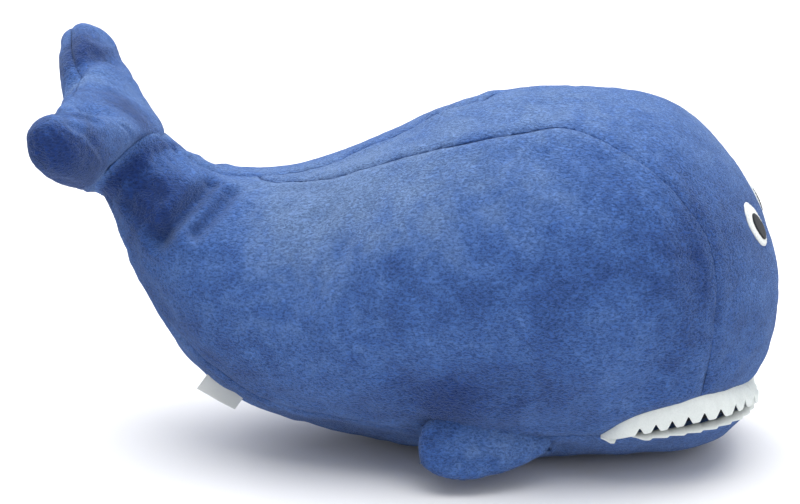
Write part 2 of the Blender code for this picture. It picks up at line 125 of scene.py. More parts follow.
# Sewing lines in the side view, from the tail to the nose
GUSSET_SEAM = (
    (0.200, 1.400),
    (0.200, 0.756),
    (0.239, 0.750),
    (0.287, 0.761),
    (0.329, 0.775),
    (0.368, 0.797),
    (0.413, 0.826),
    (0.470, 0.862),
    (0.558, 0.905),
    (0.640, 0.934),
    (0.690, 0.936),
    (0.745, 0.908),
    (0.802, 0.855),
    (0.853, 0.773),
    (0.885, 0.690),
    (0.898, 0.600),
    (0.898, 0.480),
    (0.893, 0.370),
    (0.880, 0.250),
    (0.860, 0.150),
)
BELLY_SEAM = (
    (-0.060, 0.800),
    (0.010, 0.620),
    (0.045, 0.500),
    (0.083, 0.400),
    (0.119, 0.345),
    (0.150, 0.301),
    (0.195, 0.241),
    (0.228, 0.205),
    (0.278, 0.180),
    (0.339, 0.162),
    (0.414, 0.141),
    (0.481, 0.122),
    (0.580, 0.125),
    (0.676, 0.143),
    (0.737, 0.144),
)
LIP = (
    (0.737, 0.144),
    (0.771, 0.200),
    (0.806, 0.228),
    (0.843, 0.247),
    (0.879, 0.263),
    (0.907, 0.265),
    (0.930, 0.257),
    (0.955, 0.243),
    (0.975, 0.226),
    (1.000, 0.212),
    (1.050, 0.200),
)
JAW_TOP = (
    (0.737, 0.144),
    (0.789, 0.156),
    (0.839, 0.164),
    (0.900, 0.166),
    (1.050, 0.160),
)


# ---- Node trees

class Wire:
    """One output of a node, with the arithmetic that adds Math nodes."""

    def __init__(self, tree, socket):
        self.tree = tree
        self.socket = socket

    def _maths(self, operation, *values):
        return self.tree.node("ShaderNodeMath", {"operation": operation}, dict(enumerate(values)))

    def __add__(self, other):
        return self._maths("ADD", self, other)

    def __mul__(self, other):
        return self._maths("MULTIPLY", self, other)

    def __rsub__(self, other):
        return self._maths("SUBTRACT", other, self)

    __radd__ = __add__

    def smooth(self, low, high):
        """0 below low, 1 above high, and a soft step between them."""
        settings = {"interpolation_type": "SMOOTHSTEP"}
        return self.tree.node("ShaderNodeMapRange", settings, {"Value": self, "From Min": low, "From Max": high})


class Shading:
    """A material's node tree, which adds nodes by type, settings and inputs."""

    def __init__(self, name):
        self.material = bpy.data.materials.new(name)
        self.material.use_nodes = True
        self.nodes = self.material.node_tree.nodes
        self.links = self.material.node_tree.links
        self.shader = self.nodes["Principled BSDF"]

    def node(self, kind, settings=None, inputs=None, output=0):
        made = self.nodes.new(kind)
        for setting, value in (settings or {}).items():
            setattr(made, setting, value)
        self.fill(made, inputs or {})
        return Wire(self, made.outputs[output])

    def fill(self, made, inputs):
        for socket, value in inputs.items():
            if isinstance(value, Wire):
                self.links.new(value.socket, made.inputs[socket])
            else:
                made.inputs[socket].default_value = value

    def set(self, **inputs):
        self.fill(self.shader, {name.replace("_", " "): value for name, value in inputs.items()})

    def place(self, scale=(1, 1, 1), turn=(0, 0, 0)):
        """The place on the object, scaled and turned."""
        coordinates = self.node("ShaderNodeTexCoord", output="Object")
        return self.node("ShaderNodeMapping", {}, {"Vector": coordinates, "Rotation": turn, "Scale": scale})

    def cloud(self, vector, scale, detail=2.0, roughness=0.5, distortion=0.0):
        values = {"Vector": vector, "Scale": scale, "Detail": detail, "Roughness": roughness,
                  "Distortion": distortion}
        return self.node("ShaderNodeTexNoise", {}, values)

    def mix(self, factor, first, second):
        """A colour between two others; the numbers are the node's sockets for colours."""
        return self.node("ShaderNodeMix", {"data_type": "RGBA"}, {0: factor, 6: first, 7: second}, 2)

    def attribute(self, name):
        return self.node("ShaderNodeAttribute", {"attribute_name": name}, {}, "Fac")

    def bump(self, height, distance, strength):
        return self.node("ShaderNodeBump", {}, {"Height": height, "Distance": distance, "Strength": strength})


def opaque(colour):
    return (*colour, 1.0)


def plush_material(name, settings, nap_turn=(0, 0, 0)):
    """Short-pile plush: brushed patches, clumps of pile along the nap, painted top light and painted shade, dark
    seams with painted shade in the folds, and a velvet sheen.
    """
    shading = Shading(name)
    plain = shading.place()
    along_nap = shading.place(scale=(0.55, 1, 1), turn=nap_turn)
    brushed = shading.cloud(plain, 16, 3, 0.55, 0.9).smooth(0.30, 0.70)
    patches = shading.cloud(plain, 75, 3, 0.6, 0.8).smooth(0.30, 0.70)
    clumps = shading.cloud(along_nap, 900, 3, 0.65, 0.7).smooth(0.34, 0.66)
    hairs = shading.cloud(along_nap, 1900, 2, 0.6)
    # The brushed nap together with the painted top light and painted shade, worked out for each point
    light = shading.attribute("nap_light")
    # The tone adds the painted top light and the painted shade and highlight patches to the brushed noise
    tone = brushed * 0.30 + patches * 0.22 + clumps * 0.08 + 0.20 + light
    low, high = tone.smooth(-0.15, 0.75), tone.smooth(0.45, 1.20)

    def pile(share):
        """The pile's colour, or that share of it, by how it was brushed and by its painted light and shade."""
        dark, middle, pale = (opaque([value * share for value in colour]) for colour in
                              (settings.shade_colour, settings.body_colour, settings.light_colour))
        return shading.mix(high, shading.mix(low, dark, middle), pale)

    # The roots are a darker copy of the pile: painted shade between its tufts
    roots, tips = pile(settings.root_shade), pile(1.0)
    colour = shading.mix(clumps * 0.65 + hairs * 0.35, roots, tips)
    # Dark seam lines, and painted shade in the folds' valleys
    colour = shading.mix(shading.attribute("seam_shade"), colour, opaque(settings.seam_and_fold_shade_colour))
    height = clumps * 0.60 + hairs * 0.40
    shading.set(
        Base_Color=colour,
        Roughness=1 - clumps * 0.12,
        Normal=shading.bump(height, settings.pile_depth, settings.pile_relief),
        Specular_IOR_Level=0.15,
        Sheen_Weight=settings.sheen,
        Sheen_Roughness=0.50,
        Sheen_Tint=opaque(settings.sheen_colour),
    )
    return shading.material


def lining_material(settings):
    """The darker, flatter plush inside the mouth."""
    shading = Shading("mouth_lining_cloth")
    place = shading.place()
    clumps = shading.cloud(place, 500, 3, 0.6).smooth(0.3, 0.7)
    patches = shading.cloud(place, 60, 2)
    colour = shading.mix(clumps * 0.6 + patches * 0.4, opaque(settings.lining_colour),
                         opaque([value * 2.2 for value in settings.lining_colour]))
    shading.set(Base_Color=colour, Roughness=0.95, Specular_IOR_Level=0.1, Sheen_Weight=0.25,
                Normal=shading.bump(clumps, 0.0006, 0.6))
    return shading.material


def felt_material(name, colour):
    """Pressed wool felt: matted fibres and a faintly uneven tone."""
    shading = Shading(name)
    place = shading.place()
    fibres = shading.cloud(shading.place(scale=(1, 0.25, 1), turn=(0.4, 0.2, 0.7)), 2600, 3, 0.7, 1.5)
    matted = shading.cloud(place, 900, 4, 0.65, 1.0)
    uneven = shading.cloud(place, 90, 3)
    tone = fibres * 0.4 + matted * 0.4 + uneven * 0.2
    shaded = [value * 0.86 for value in colour]
    shading.set(
        Base_Color=shading.mix(tone.smooth(0.35, 0.65), opaque(shaded), opaque(colour)),
        Roughness=1 - matted * 0.1,
        Normal=shading.bump(fibres * 0.5 + matted * 0.5, 0.00025, 0.5),
        Specular_IOR_Level=0.2,
        Sheen_Weight=0.15,
    )
    return shading.material


def satin_material(settings):
    """Woven satin ribbon: fine warp lines across a soft gloss."""
    shading = Shading("label_satin")
    weave = shading.node(
        "ShaderNodeTexWave", {"bands_direction": "DIAGONAL"},
        {"Vector": shading.place(), "Scale": 900.0, "Distortion": 0.6, "Detail": 1.0})
    # The crease pattern's darker and lighter bands are painted shade and painted sheen of creases; the weave is the
    # ribbon's own pattern
    crease_light_and_shade = shading.cloud(shading.place(), 110, 2)
    tone = weave * 0.35 + crease_light_and_shade * 0.65
    shaded = [value * 0.80 for value in settings.satin_colour]
    shading.set(
        Base_Color=shading.mix(tone, opaque(shaded), opaque(settings.satin_colour)),
        Roughness=0.34 + weave * 0.2,
        Normal=shading.bump(tone, 0.0003, 0.35),
        Specular_IOR_Level=0.5,
    )
    return shading.material


# ---- Forms

def side_point(x_share, z_share):
    return Vector(((x_share - REST_SHARE) * BODY_LENGTH, 0, z_share * BODY_HEIGHT))


def side_curve(shares, steps=6):
    """A curve in the side view through all its points, after Catmull and Rom, as rows of x and z."""
    points = [np.array((p.x, p.z)) for p in (side_point(*share) for share in shares)]
    ends = [points[0] * 2 - points[1], *points, points[-1] * 2 - points[-2]]
    line = []
    for before, start, end, after in zip(ends, ends[1:], ends[2:], ends[3:]):
        for step in range(steps):
            t = step / steps
            line.append(0.5 * (2 * start + (end - before) * t + (2 * before - 5 * start + 4 * end - after) * t**2
                               + (3 * start - before - 3 * end + after) * t**3))
    return np.array([*line, points[-1]])


def soft_power(value, roundness):
    return math.copysign(abs(value) ** (2 / roundness), value)


def ring(centre, across, up, count, roundness=2.0):
    """Points round a soft section, made fuller because smoothing a cage draws it in."""
    fuller = 1 / (2 / 3 + math.cos(2 * math.pi / count) / 3)
    points = []
    for step in range(count):
        angle = 2 * math.pi * step / count
        sideways = across * soft_power(math.cos(angle), roundness)
        upwards = up * soft_power(math.sin(angle), roundness)
        points.append(centre + fuller * (sideways + upwards))
    return points


def cage_mesh(name, rings):
    cage = bmesh.new()
    rows = [[cage.verts.new(point) for point in points] for points in rings]
    count = len(rows[0])
    for first, second in zip(rows, rows[1:]):
        for step in range(count):
            after = (step + 1) % count
            cage.faces.new((first[step], first[after], second[after], second[step]))
    cage.faces.new(rows[0])
    cage.faces.new(rows[-1])
    bmesh.ops.recalc_face_normals(cage, faces=cage.faces)
    mesh = bpy.data.meshes.new(name)
    cage.to_mesh(mesh)
    cage.free()
    return mesh


def applied(obj):
    """The object's mesh with its modifiers applied; the object itself is removed."""
    bpy.context.view_layer.update()
    graph = bpy.context.evaluated_depsgraph_get()
    mesh = bpy.data.meshes.new_from_object(obj.evaluated_get(graph))
    bpy.data.objects.remove(obj, do_unlink=True)
    return mesh


def placed(name, mesh):
    obj = bpy.data.objects.new(name, mesh)
    bpy.context.scene.collection.objects.link(obj)
    return obj


def subdivided(obj, times):
    """The object's mesh made smooth and finer; the object itself is removed."""
    smooth = obj.modifiers.new("smooth", "SUBSURF")
    smooth.levels = times
    smooth.render_levels = times
    return applied(obj)


def refined(mesh, times):
    return subdivided(placed(mesh.name, mesh), times)


def vertex_rows(mesh, what):
    """The places or the normals of the mesh's vertices, a row for each."""
    flat = np.empty(len(mesh.vertices) * 3, np.float32)
    mesh.vertices.foreach_get(what, flat)
    return flat.reshape(-1, 3).astype(float)


def points_of(mesh):
    return vertex_rows(mesh, "co")


def normals_of(mesh):
    return vertex_rows(mesh, "normal")


def move_to(mesh, points):
    mesh.vertices.foreach_set("co", points.astype(np.float32).ravel())
    mesh.update()


def noise_at(points, scale, seed=0.0):
    """Smooth noise from -1 to 1 at each point, a wavelength of about 1 / scale."""
    shift = Vector((seed, seed * 0.7, -seed))
    return np.array([noise.noise(Vector(point) * scale + shift) for point in points])


def signed_side(line, places):
    """How far each x, z place lies above or left of a side-view line, with a minus sign below it."""
    best = np.full(len(places), 1e9)
    signed = np.zeros(len(places))
    for start, end in zip(line, line[1:]):
        along = end - start
        length2 = max(float(along @ along), 1e-12)
        t = np.clip(((places - start) @ along) / length2, 0, 1)
        off = places - (start + t[:, None] * along)
        distance = np.hypot(off[:, 0], off[:, 1])
        cross = along[0] * (places[:, 1] - start[1]) - along[1] * (places[:, 0] - start[0])
        nearer = distance < best - 1e-9
        best = np.where(nearer, distance, best)
        signed = np.where(nearer, np.sign(cross) * distance, signed)
    return signed


def cut_along(form, signed, layer_name):
    """Splits a bmesh's faces along the zero line of a value given at its vertices, and keeps the value."""
    layer = form.verts.layers.float.new(layer_name)
    form.verts.ensure_lookup_table()
    for vert, value in zip(form.verts, signed):
        vert[layer] = 0.0 if abs(value) < 2e-5 else value
    crossing = [edge for edge in form.edges if edge.verts[0][layer] * edge.verts[1][layer] < 0]
    touched = set()
    for edge in crossing:
        touched.update(edge.link_faces)
        low, high = edge.verts[0][layer], edge.verts[1][layer]
        vert = bmesh.utils.edge_split(edge, edge.verts[0], low / (low - high))[1]
        vert[layer] = 0.0
    for face in touched:
        ends = [vert for vert in face.verts if vert[layer] == 0.0]
        if len(ends) == 2 and form.edges.get(ends) is None:
            bmesh.utils.face_split(face, ends[0], ends[1])
    return layer


def face_side(face, layer):
    values = [vert[layer] for vert in face.verts]
    return max(values, key=abs)


def panel_from(form, name, wanted):
    """A new mesh of the faces that a test accepts, with each boundary edge's vertices kept."""
    part = form.copy()
    part.faces.ensure_lookup_table()
    form.faces.ensure_lookup_table()
    unwanted = [part.faces[face.index] for face in form.faces if not wanted(face)]
    bmesh.ops.delete(part, geom=unwanted, context="FACES")
    mesh = bpy.data.meshes.new(name)
    part.to_mesh(mesh)
    part.free()
    return mesh


def line_distance(points, line):
    """Each point's distance to a line of points."""
    best = np.full(len(points), 1e9)
    for start, end in zip(line, line[1:]):
        along = end - start
        t = np.clip(((points - start) @ along) / float(along @ along), 0, 1)
        best = np.minimum(best, np.linalg.norm(points - start - t[:, None] * along, axis=1))
    return best


def soft_step(values, low, high):
    t = np.clip((values - low) / (high - low), 0, 1)
    return t * t * (3 - 2 * t)


def folded(points, folds, ridge=0.2):
    """For creased folds, the move along the normal: a valley with a low ridge on each side, and the painted shade in
    the valley.
    """
    move = np.zeros(len(points))
    dark = np.zeros(len(points))
    for line, depth, width in folds:
        across = line_distance(points, np.array(line)) / width
        move += depth * (ridge * np.exp(-1.2 * (across - 1.9) ** 2) - np.exp(-across**2))
        dark = np.maximum(dark, min(1, depth / 0.005) * np.exp(-(across**2)))
    return move, dark


def stuffed(mesh, held, settings):
    """The form's points after a cloth simulation, in which the stuffing presses the cloth between its seams."""
    start = points_of(mesh)
    obj = placed("stuffing_test", mesh.copy())
    group = obj.vertex_groups.new(name="sewn")
    for index in np.nonzero(held > 0.01)[0]:
        group.add([int(index)], float(min(held[index], 1.0)), "REPLACE")
    cloth = obj.modifiers.new("stuffing", "CLOTH")
    cloth.settings.quality = 6
    cloth.settings.tension_stiffness = settings.stiffness
    cloth.settings.compression_stiffness = settings.stiffness
    cloth.settings.shear_stiffness = settings.stiffness / 3
    cloth.settings.use_pressure = True
    cloth.settings.uniform_pressure_force = settings.pressure
    cloth.settings.shrink_min = -settings.slack
    cloth.settings.vertex_group_mass = "sewn"
    cloth.settings.effector_weights.gravity = 0
    cloth.collision_settings.use_collision = False
    cloth.point_cache.frame_end = settings.steps
    scene = bpy.context.scene
    for step in range(1, settings.steps + 1):
        scene.frame_set(step)
    pressed = points_of(applied(obj))
    scene.frame_set(1)
    shift = pressed - start
    length = np.maximum(np.linalg.norm(shift, axis=1), 1e-9)
    shift *= (settings.cap * np.tanh(length / settings.cap) / length)[:, None]
    normals = normals_of(mesh)
    outward = np.sum(shift * normals, axis=1)[held < 0.5].mean()
    return start + shift - normals * (settings.kept_size * outward * (1 - held))[:, None]


def form_points(form):
    return np.array([vert.co[:] for vert in form.verts])


def sew(form, sewn, settings, pleats, strength, painted_fold_shade):
    """Draws the cloth in along its sewn vertices, with small puckers, and darkens it there, adding painted shade in
    the folds' valleys.
    """
    form.normal_update()
    points = form_points(form)
    normals = np.array([vert.normal[:] for vert in form.verts])
    seam = [vert.co.copy() for vert in sewn]
    among = set(sewn)
    seam += [(edge.verts[0].co + edge.verts[1].co) / 2 for edge in form.edges
             if edge.verts[0] in among and edge.verts[1] in among]
    tree = KDTree(len(seam))
    for index, place in enumerate(seam):
        tree.insert(place, index)
    tree.balance()
    found = [tree.find(point) for point in points]
    distance = np.array([away for _, _, away in found])
    nearest = np.array([place[:] for place, _, _ in found])
    firm = strength(nearest)
    groove = -firm * settings.depth * np.exp(-(distance / settings.width) ** 1.3)
    swell = settings.swell * np.exp(-((distance / settings.width - 3.2) / 2.0) ** 2)
    pucker = noise_at(nearest, 1 / settings.pucker_spacing, 3.1)
    pucker *= pleats * settings.pucker_depth * np.exp(-distance / settings.pucker_reach)
    pucker *= soft_step(distance, 0, settings.width) * (0.4 + 0.6 * firm)
    shade = form.verts.layers.float.new("seam_shade")
    # Dark seam lines, with painted shade at the bottom of the folds
    dark = firm * settings.shade * np.exp(-((distance / settings.shade_width) ** 1.5))
    dark = np.maximum(dark, settings.painted_fold_shade * painted_fold_shade)
    for vert, point, value in zip(form.verts, points + normals * (groove + swell + pucker)[:, None], dark):
        vert.co = point
        vert[shade] = value


def hemmed(mesh, depth):
    """Turns the panel's open edges in under it, as sewn edges are."""
    form = bmesh.new()
    form.from_mesh(mesh)
    form.normal_update()
    edges = [edge for edge in form.edges if edge.is_boundary]
    facing = {vert: vert.normal.copy() for edge in edges for vert in edge.verts}
    for _ in range(8):
        total = {vert: normal.copy() for vert, normal in facing.items()}
        for edge in edges:
            first, second = edge.verts
            total[first] += facing[second]
            total[second] += facing[first]
        facing = {vert: normal.normalized() for vert, normal in total.items()}
    normals = {tuple(vert.co): normal for vert, normal in facing.items()}
    for share in (0.25, 0.75):
        made = bmesh.ops.extrude_edge_only(form, edges=edges)["geom"]
        turned = [item for item in made if isinstance(item, bmesh.types.BMVert)]
        edges = [item for item in made if isinstance(item, bmesh.types.BMEdge)]
        moved = {}
        for vert in turned:
            normal = normals[tuple(vert.co)]
            vert.co -= normal * depth * share
            moved[tuple(vert.co)] = normal
        normals = moved
    form.to_mesh(mesh)
    form.free()


# Where the pile was brushed lighter or darker, with painted shade under the hem, in fold valleys and above the fin,
# and painted highlights along fold ridges: the middle of each patch, its radius and the change
BRUSHED_AND_PAINTED_LIGHT_PATCHES = (
    ((-0.0790, -0.0470, 0.1660), 0.045, 0.34),
    ((-0.1255, -0.0500, 0.1485), 0.030, 0.06),
    ((-0.0194, -0.0660, 0.1790), 0.035, 0.28),
    ((-0.1880, -0.0360, 0.1600), 0.024, -0.75),
    ((-0.1560, -0.0370, 0.1600), 0.025, -0.36),
    ((-0.1340, -0.0500, 0.1480), 0.024, -0.20),
    ((-0.1545, -0.0405, 0.1565), 0.005, 0.30),
    ((-0.1615, -0.0440, 0.1500), 0.005, 0.30),
    ((-0.1900, -0.0350, 0.1350), 0.018, 0.15),
    ((-0.2440, 0.0500, 0.2290), 0.014, -0.45),
    ((-0.2400, -0.0050, 0.2180), 0.012, -0.35),
    ((-0.2347, 0.0580, 0.2305), 0.028, -0.60),
    ((-0.2182, -0.1070, 0.2090), 0.032, -0.80),
    ((-0.2166, -0.0940, 0.2232), 0.010, 0.20),
    ((-0.2055, -0.0856, 0.1970), 0.022, -0.15),
    ((-0.2006, -0.0072, 0.2078), 0.022, -0.75),
    ((-0.2180, 0.0000, 0.2170), 0.015, -0.12),
    ((0.0895, -0.0900, 0.1400), 0.050, -0.08),
    ((0.1250, -0.0870, 0.1400), 0.022, -0.30),
    ((0.1300, -0.0850, 0.1100), 0.026, -0.18),
    ((0.1400, -0.0650, 0.1650), 0.022, -0.22),
    ((-0.0415, -0.0830, 0.1425), 0.0060, -0.20),
    ((-0.0345, -0.0845, 0.1375), 0.0055, -0.22),
    ((-0.0270, -0.0860, 0.1310), 0.0055, -0.20),
    ((0.0561, -0.0974, 0.1308), 0.009, -0.15),
    ((0.0200, -0.0965, 0.1180), 0.016, -0.18),
    ((0.0230, -0.0900, 0.0650), 0.022, -0.22),
    ((0.0420, -0.0920, 0.0680), 0.020, -0.12),
    ((-0.0071, -0.0862, 0.0520), 0.024, -0.50),
    ((0.1500, -0.0300, 0.1600), 0.060, -0.22),
    ((0.0050, -0.1000, 0.0200), 0.030, 0.15),
)
# The painted highlight along the raised edge at the body's open end and the painted shadow just below it: the place
# of each across the end, its width and the change
HEM_PAINTED_LIGHT = ((-0.001, 0.0022, 0.30), (-0.009, 0.0045, -0.30))
# The unevenness of pile at rest: the fineness of each layer of bumps, its share, and a shift of its pattern
PILE_BUMPS = ((45, 0.55, 9), (140, 0.30, 0), (450, 0.15, 5))


def nap_and_painted_light_at(points, normals, contrast):
    """How light the pile looks at each point: painted top light where it faces up, and the brushed patches with their
    painted shade and painted highlights.
    """
    # Painted top light: the pile is made lighter where the surface faces up
    light = contrast * (0.75 * normals[:, 2] + 0.25 * normals[:, 0])
    for place, radius, change in BRUSHED_AND_PAINTED_LIGHT_PATCHES:
        light += change * np.exp(-np.sum((points - np.array(place)) ** 2, axis=1) / radius**2)
    # Painted highlight on the raised edge, and painted shadow just below it
    hem = neck_side(points)
    for place, width, change in HEM_PAINTED_LIGHT:
        light += change * np.exp(-(((hem - place) / width) ** 2))
    return light


def finished(name, mesh, material, settings=None, seed=0.0):
    """The mesh as a shown piece with its material and, if it is plush, the unevenness of pile at rest."""
    if settings:
        points = points_of(mesh)
        relief = sum(share * noise_at(points, scale, seed + shift) for scale, share, shift in PILE_BUMPS)
        points += normals_of(mesh) * (settings.unevenness * relief)[:, None]
        points[:, 2] = np.maximum(points[:, 2], 0)
        move_to(mesh, points)
        # The brushed nap together with the painted top light and painted shade, for the pile's colour
        nap = mesh.attributes.new("nap_light", "FLOAT", "POINT")
        nap.data.foreach_set("value", nap_and_painted_light_at(points, normals_of(mesh), settings.painted_top_light).astype(np.float32))
    mesh.name = name
    mesh.materials.clear()
    mesh.materials.append(material)
    mesh.shade_smooth()
    return placed(name, mesh)


def levels(fine):
    return fine


# ---- Body

NECK_TOP = side_point(*BODY_STATIONS[2][0:2])
NECK_BOTTOM = side_point(*BODY_STATIONS[2][2:4])
NECK_UP = (NECK_TOP - NECK_BOTTOM).normalized()
NECK_ALONG = Vector((-NECK_UP.z, 0, NECK_UP.x))
TAIL_ROOT = (NECK_TOP + NECK_BOTTOM) / 2
NECK_HALF_WIDTH = BODY_STATIONS[2][4] * BODY_WIDTH / 2
NECK_HALF_HEIGHT = (NECK_TOP - NECK_BOTTOM).length / 2
CORNER = side_point(*BELLY_SEAM[-1])
JAW_BEND = (Vector((CORNER.x - 0.012, 0, CORNER.z)), Vector((CORNER.x + 0.014, 0, CORNER.z)))

# How much further back the body's open end reaches on the right, and how softly that ends towards the left
NECK_SKEW = 0.016
NECK_SKEW_END = 0.12
NECK_SKEW_SOFTNESS = 0.03
# How far in front of the body's open end the flukes' root begins to give way, and over what length it does
NECK_CLEARANCE = -0.0012
NECK_YIELD = 0.005
# How far the jaw's front is brought forward, and where along the whale and how high up that sets in
JAW_REACH = 0.0030
JAW_REACH_ALONG = (0.125, 0.168)
JAW_REACH_HEIGHT = (0.020, 0.030)
# How far the gusset's seam is moved up on the left side, where along the whale, and over what length
FAR_SEAM_SHIFT = 0.0110
FAR_SEAM_MIDDLE = -0.010
FAR_SEAM_REACH = 0.085
# How far from its sewing lines the coat is held in the simulation
HELD_WIDTH = 0.010

# Folds and wide dents: the line of each on the surface, its depth and its width; the folds' valleys are also given
# painted shade
BODY_DENTS = (
    (((-0.2206, 0.0, 0.1500), (-0.2073, 0.0, 0.1153), (-0.1960, 0.0, 0.0960)), 0.0048, 0.0260),
    (((0.1500, -0.0350, 0.1860), (0.1550, 0.0300, 0.1850)), 0.0042, 0.0300),
    (((-0.1500, 0.0, 0.1680), (-0.0840, 0.0, 0.1810)), 0.0028, 0.0220),
    (((0.1720, -0.0300, 0.1500), (0.1780, 0.0200, 0.1300)), 0.0032, 0.0300),
    (((-0.0750, -0.0500, 0.0200), (-0.0350, -0.0550, 0.0150)), 0.0040, 0.0200),
    (((0.1600, -0.0500, 0.0500), (0.1700, 0.0, 0.0430), (0.1650, 0.0400, 0.0400)), 0.0050, 0.0170),
)
BODY_FOLDS = (
    (((-0.1518, -0.0200, 0.1675), (-0.1594, -0.0351, 0.1615), (-0.1685, -0.0439, 0.1518), (-0.1791, -0.0463, 0.1402)),
     0.0056, 0.0052),
    (((-0.1405, -0.0264, 0.1634), (-0.1472, -0.0391, 0.1568), (-0.1581, -0.0481, 0.1460)), 0.0040, 0.0050),
    (((-0.1560, 0.0180, 0.1680), (-0.1650, 0.0360, 0.1600), (-0.1760, 0.0455, 0.1440)), 0.0040, 0.0050),
    (((-0.1400, 0.0300, 0.1620), (-0.1500, 0.0430, 0.1520), (-0.1600, 0.0490, 0.1420)), 0.0020, 0.0040),
    (((-0.1072, -0.0278, 0.1662), (-0.0950, -0.0316, 0.1682), (-0.0826, -0.0376, 0.1702)), 0.0007, 0.0050),
    (((-0.1958, -0.0351, 0.1658), (-0.1869, -0.0349, 0.1683), (-0.1779, -0.0375, 0.1631)), 0.0012, 0.0036),
    (((-0.1990, -0.0353, 0.1579), (-0.1884, -0.0411, 0.1494), (-0.1803, -0.0461, 0.1400)), 0.0012, 0.0045),
)


def body_rings():
    rings = []
    for top_x, top_z, bottom_x, bottom_z, width in BODY_STATIONS:
        top = side_point(top_x, top_z)
        bottom = side_point(bottom_x, bottom_z)
        across = Vector((0, -width * BODY_WIDTH / 2, 0))
        rings.append(ring((top + bottom) / 2, across, (top - bottom) / 2, BODY_RING_COUNT, BODY_ROUNDNESS))
    return rings


def body_lines():
    upper = np.vstack([side_curve(BELLY_SEAM)[:-1], side_curve(LIP)])
    lower = np.vstack([side_curve(BELLY_SEAM)[:-1], side_curve(JAW_TOP)])
    gusset = side_curve(GUSSET_SEAM[1:])
    gusset = np.vstack([[[gusset[0][0], 0.4]], gusset])
    return upper, lower, gusset


def neck_side(points):
    """How far each point lies beyond the body's open end, which reaches further back on the whale's right."""
    along = (points - np.array(TAIL_ROOT)) @ np.array(NECK_ALONG)
    skew = np.tanh(points[:, 1] / NECK_HALF_WIDTH)
    limited = skew + NECK_SKEW_END - np.sqrt((skew - NECK_SKEW_END) ** 2 + NECK_SKEW_SOFTNESS)
    return along + NECK_SKEW * 0.5 * limited


def set_in_neck(points):
    """Fits the root of the flukes in the body's open end: what is wider than the opening is pushed beyond it."""
    off = points - np.array(TAIL_ROOT)
    beyond = neck_side(points)
    fullness = np.hypot(off[:, 1] / NECK_HALF_WIDTH, off @ np.array(NECK_UP) / NECK_HALF_HEIGHT)
    outside = soft_step(fullness, 0.80, 1.00)
    past = beyond - NECK_CLEARANCE
    pushed = 0.5 * (past + np.sqrt(past**2 + NECK_YIELD**2)) + NECK_CLEARANCE
    return points + (outside * (pushed - beyond))[:, None] * np.array(NECK_ALONG)


def held_body(points):
    """1 on the body's sewing lines and 0 well away from them, for holding them in the simulation."""
    upper, lower, gusset = body_lines()
    places = points[:, [0, 2]]
    above = signed_side(upper, places)
    nearest = np.minimum(np.abs(above), np.abs(neck_side(points)))
    nearest = np.where(above > 0, np.minimum(nearest, np.abs(signed_side(gusset, places))), nearest)
    nearest = np.where(places[:, 0] > CORNER.x, np.minimum(nearest, np.abs(signed_side(lower, places))), nearest)
    nearest = np.where(points[:, 2] < 0.004, 0, nearest)
    return 1 - soft_step(nearest, 0.4 * HELD_WIDTH, HELD_WIDTH)


def body_seam_strength(places):
    """The seams hardly show on the forehead, and only a little under the belly."""
    high = soft_step(places[:, 2], 0.06, 0.10)
    forehead = soft_step(places[:, 0], 0.025, 0.085) * high
    return 1 - 0.88 * forehead - 0.35 * (1 - high)


def coat_form():
    """The body's coat as a bmesh: stuffed, folded, cut along its sewing lines and drawn in there."""
    scene = bpy.context.scene
    rest = refined(cage_mesh("body_rest", body_rings()), 3)
    shaped = rest.copy()
    move_to(shaped, stuffed(rest, held_body(points_of(rest)), scene.whale_stuffing))
    fine = levels(5) - 3
    rest, shaped = refined(rest, fine), refined(shaped, fine)
    points = points_of(shaped)
    shift = folded(points, BODY_FOLDS)[0] + folded(points, BODY_DENTS, 0.0)[0]
    shift += 0.0010 * noise_at(points, 22, 2.0) + 0.0008 * noise_at(points, 48, 6.0)
    kept = rest.attributes.new("shaped", "FLOAT_VECTOR", "POINT")
    kept.data.foreach_set("vector", (points + normals_of(shaped) * shift[:, None]).astype(np.float32).ravel())
    form = bmesh.new()
    form.from_mesh(rest)
    upper, lower, gusset = body_lines()
    for name, line in (("upper", upper), ("lower", lower), ("gusset", gusset)):
        points = form_points(form)
        signed = signed_side(line, points[:, [0, 2]])
        if name == "gusset":
            along = (points[:, 0] - FAR_SEAM_MIDDLE) / FAR_SEAM_REACH
            signed -= FAR_SEAM_SHIFT * (points[:, 1] > 0) * np.exp(-along ** 2)
        cut_along(form, signed, name)
    cut_along(form, neck_side(form_points(form)), "neck")
    cut_along(form, form_points(form)[:, 1], "middle")
    shaped_place = form.verts.layers.float_vector["shaped"]
    for vert in form.verts:
        vert.co = vert[shaped_place]
    upper, lower, neck = (form.verts.layers.float[name] for name in ("upper", "lower", "neck"))
    for vert in form.verts:
        if vert[lower] <= 0 and vert.co.z < CORNER.z + 0.01:
            high = 0.1 + 0.9 * float(soft_step(vert.co.z, *JAW_REACH_HEIGHT))
            vert.co.x += JAW_REACH * high * float(soft_step(vert.co.x, *JAW_REACH_ALONG))
    gone = [face for face in form.faces
            if face_side(face, upper) < 0 < face_side(face, lower) or face_side(face, neck) > 0]
    bmesh.ops.delete(form, geom=gone, context="FACES")
    gusset, middle = (form.verts.layers.float[name] for name in ("gusset", "middle"))
    sewn = []
    for vert in form.verts:
        on_gusset = vert[gusset] == 0 and vert[upper] >= 0
        on_middle = vert[middle] == 0 and vert[gusset] < 0 < vert[upper]
        on_jaw = vert[lower] == 0 and vert.co.x > CORNER.x
        if vert[upper] == 0 or on_gusset or on_middle or on_jaw:
            sewn.append(vert)
    # Painted shade along the folds' valleys
    dark = folded(form_points(form), BODY_FOLDS)[1]
    sew(form, sewn, scene.whale_seams, 1.0, body_seam_strength, dark)
    raise_neck_hem(form, form.verts.layers.float["neck"], scene.whale_seams)
    return form


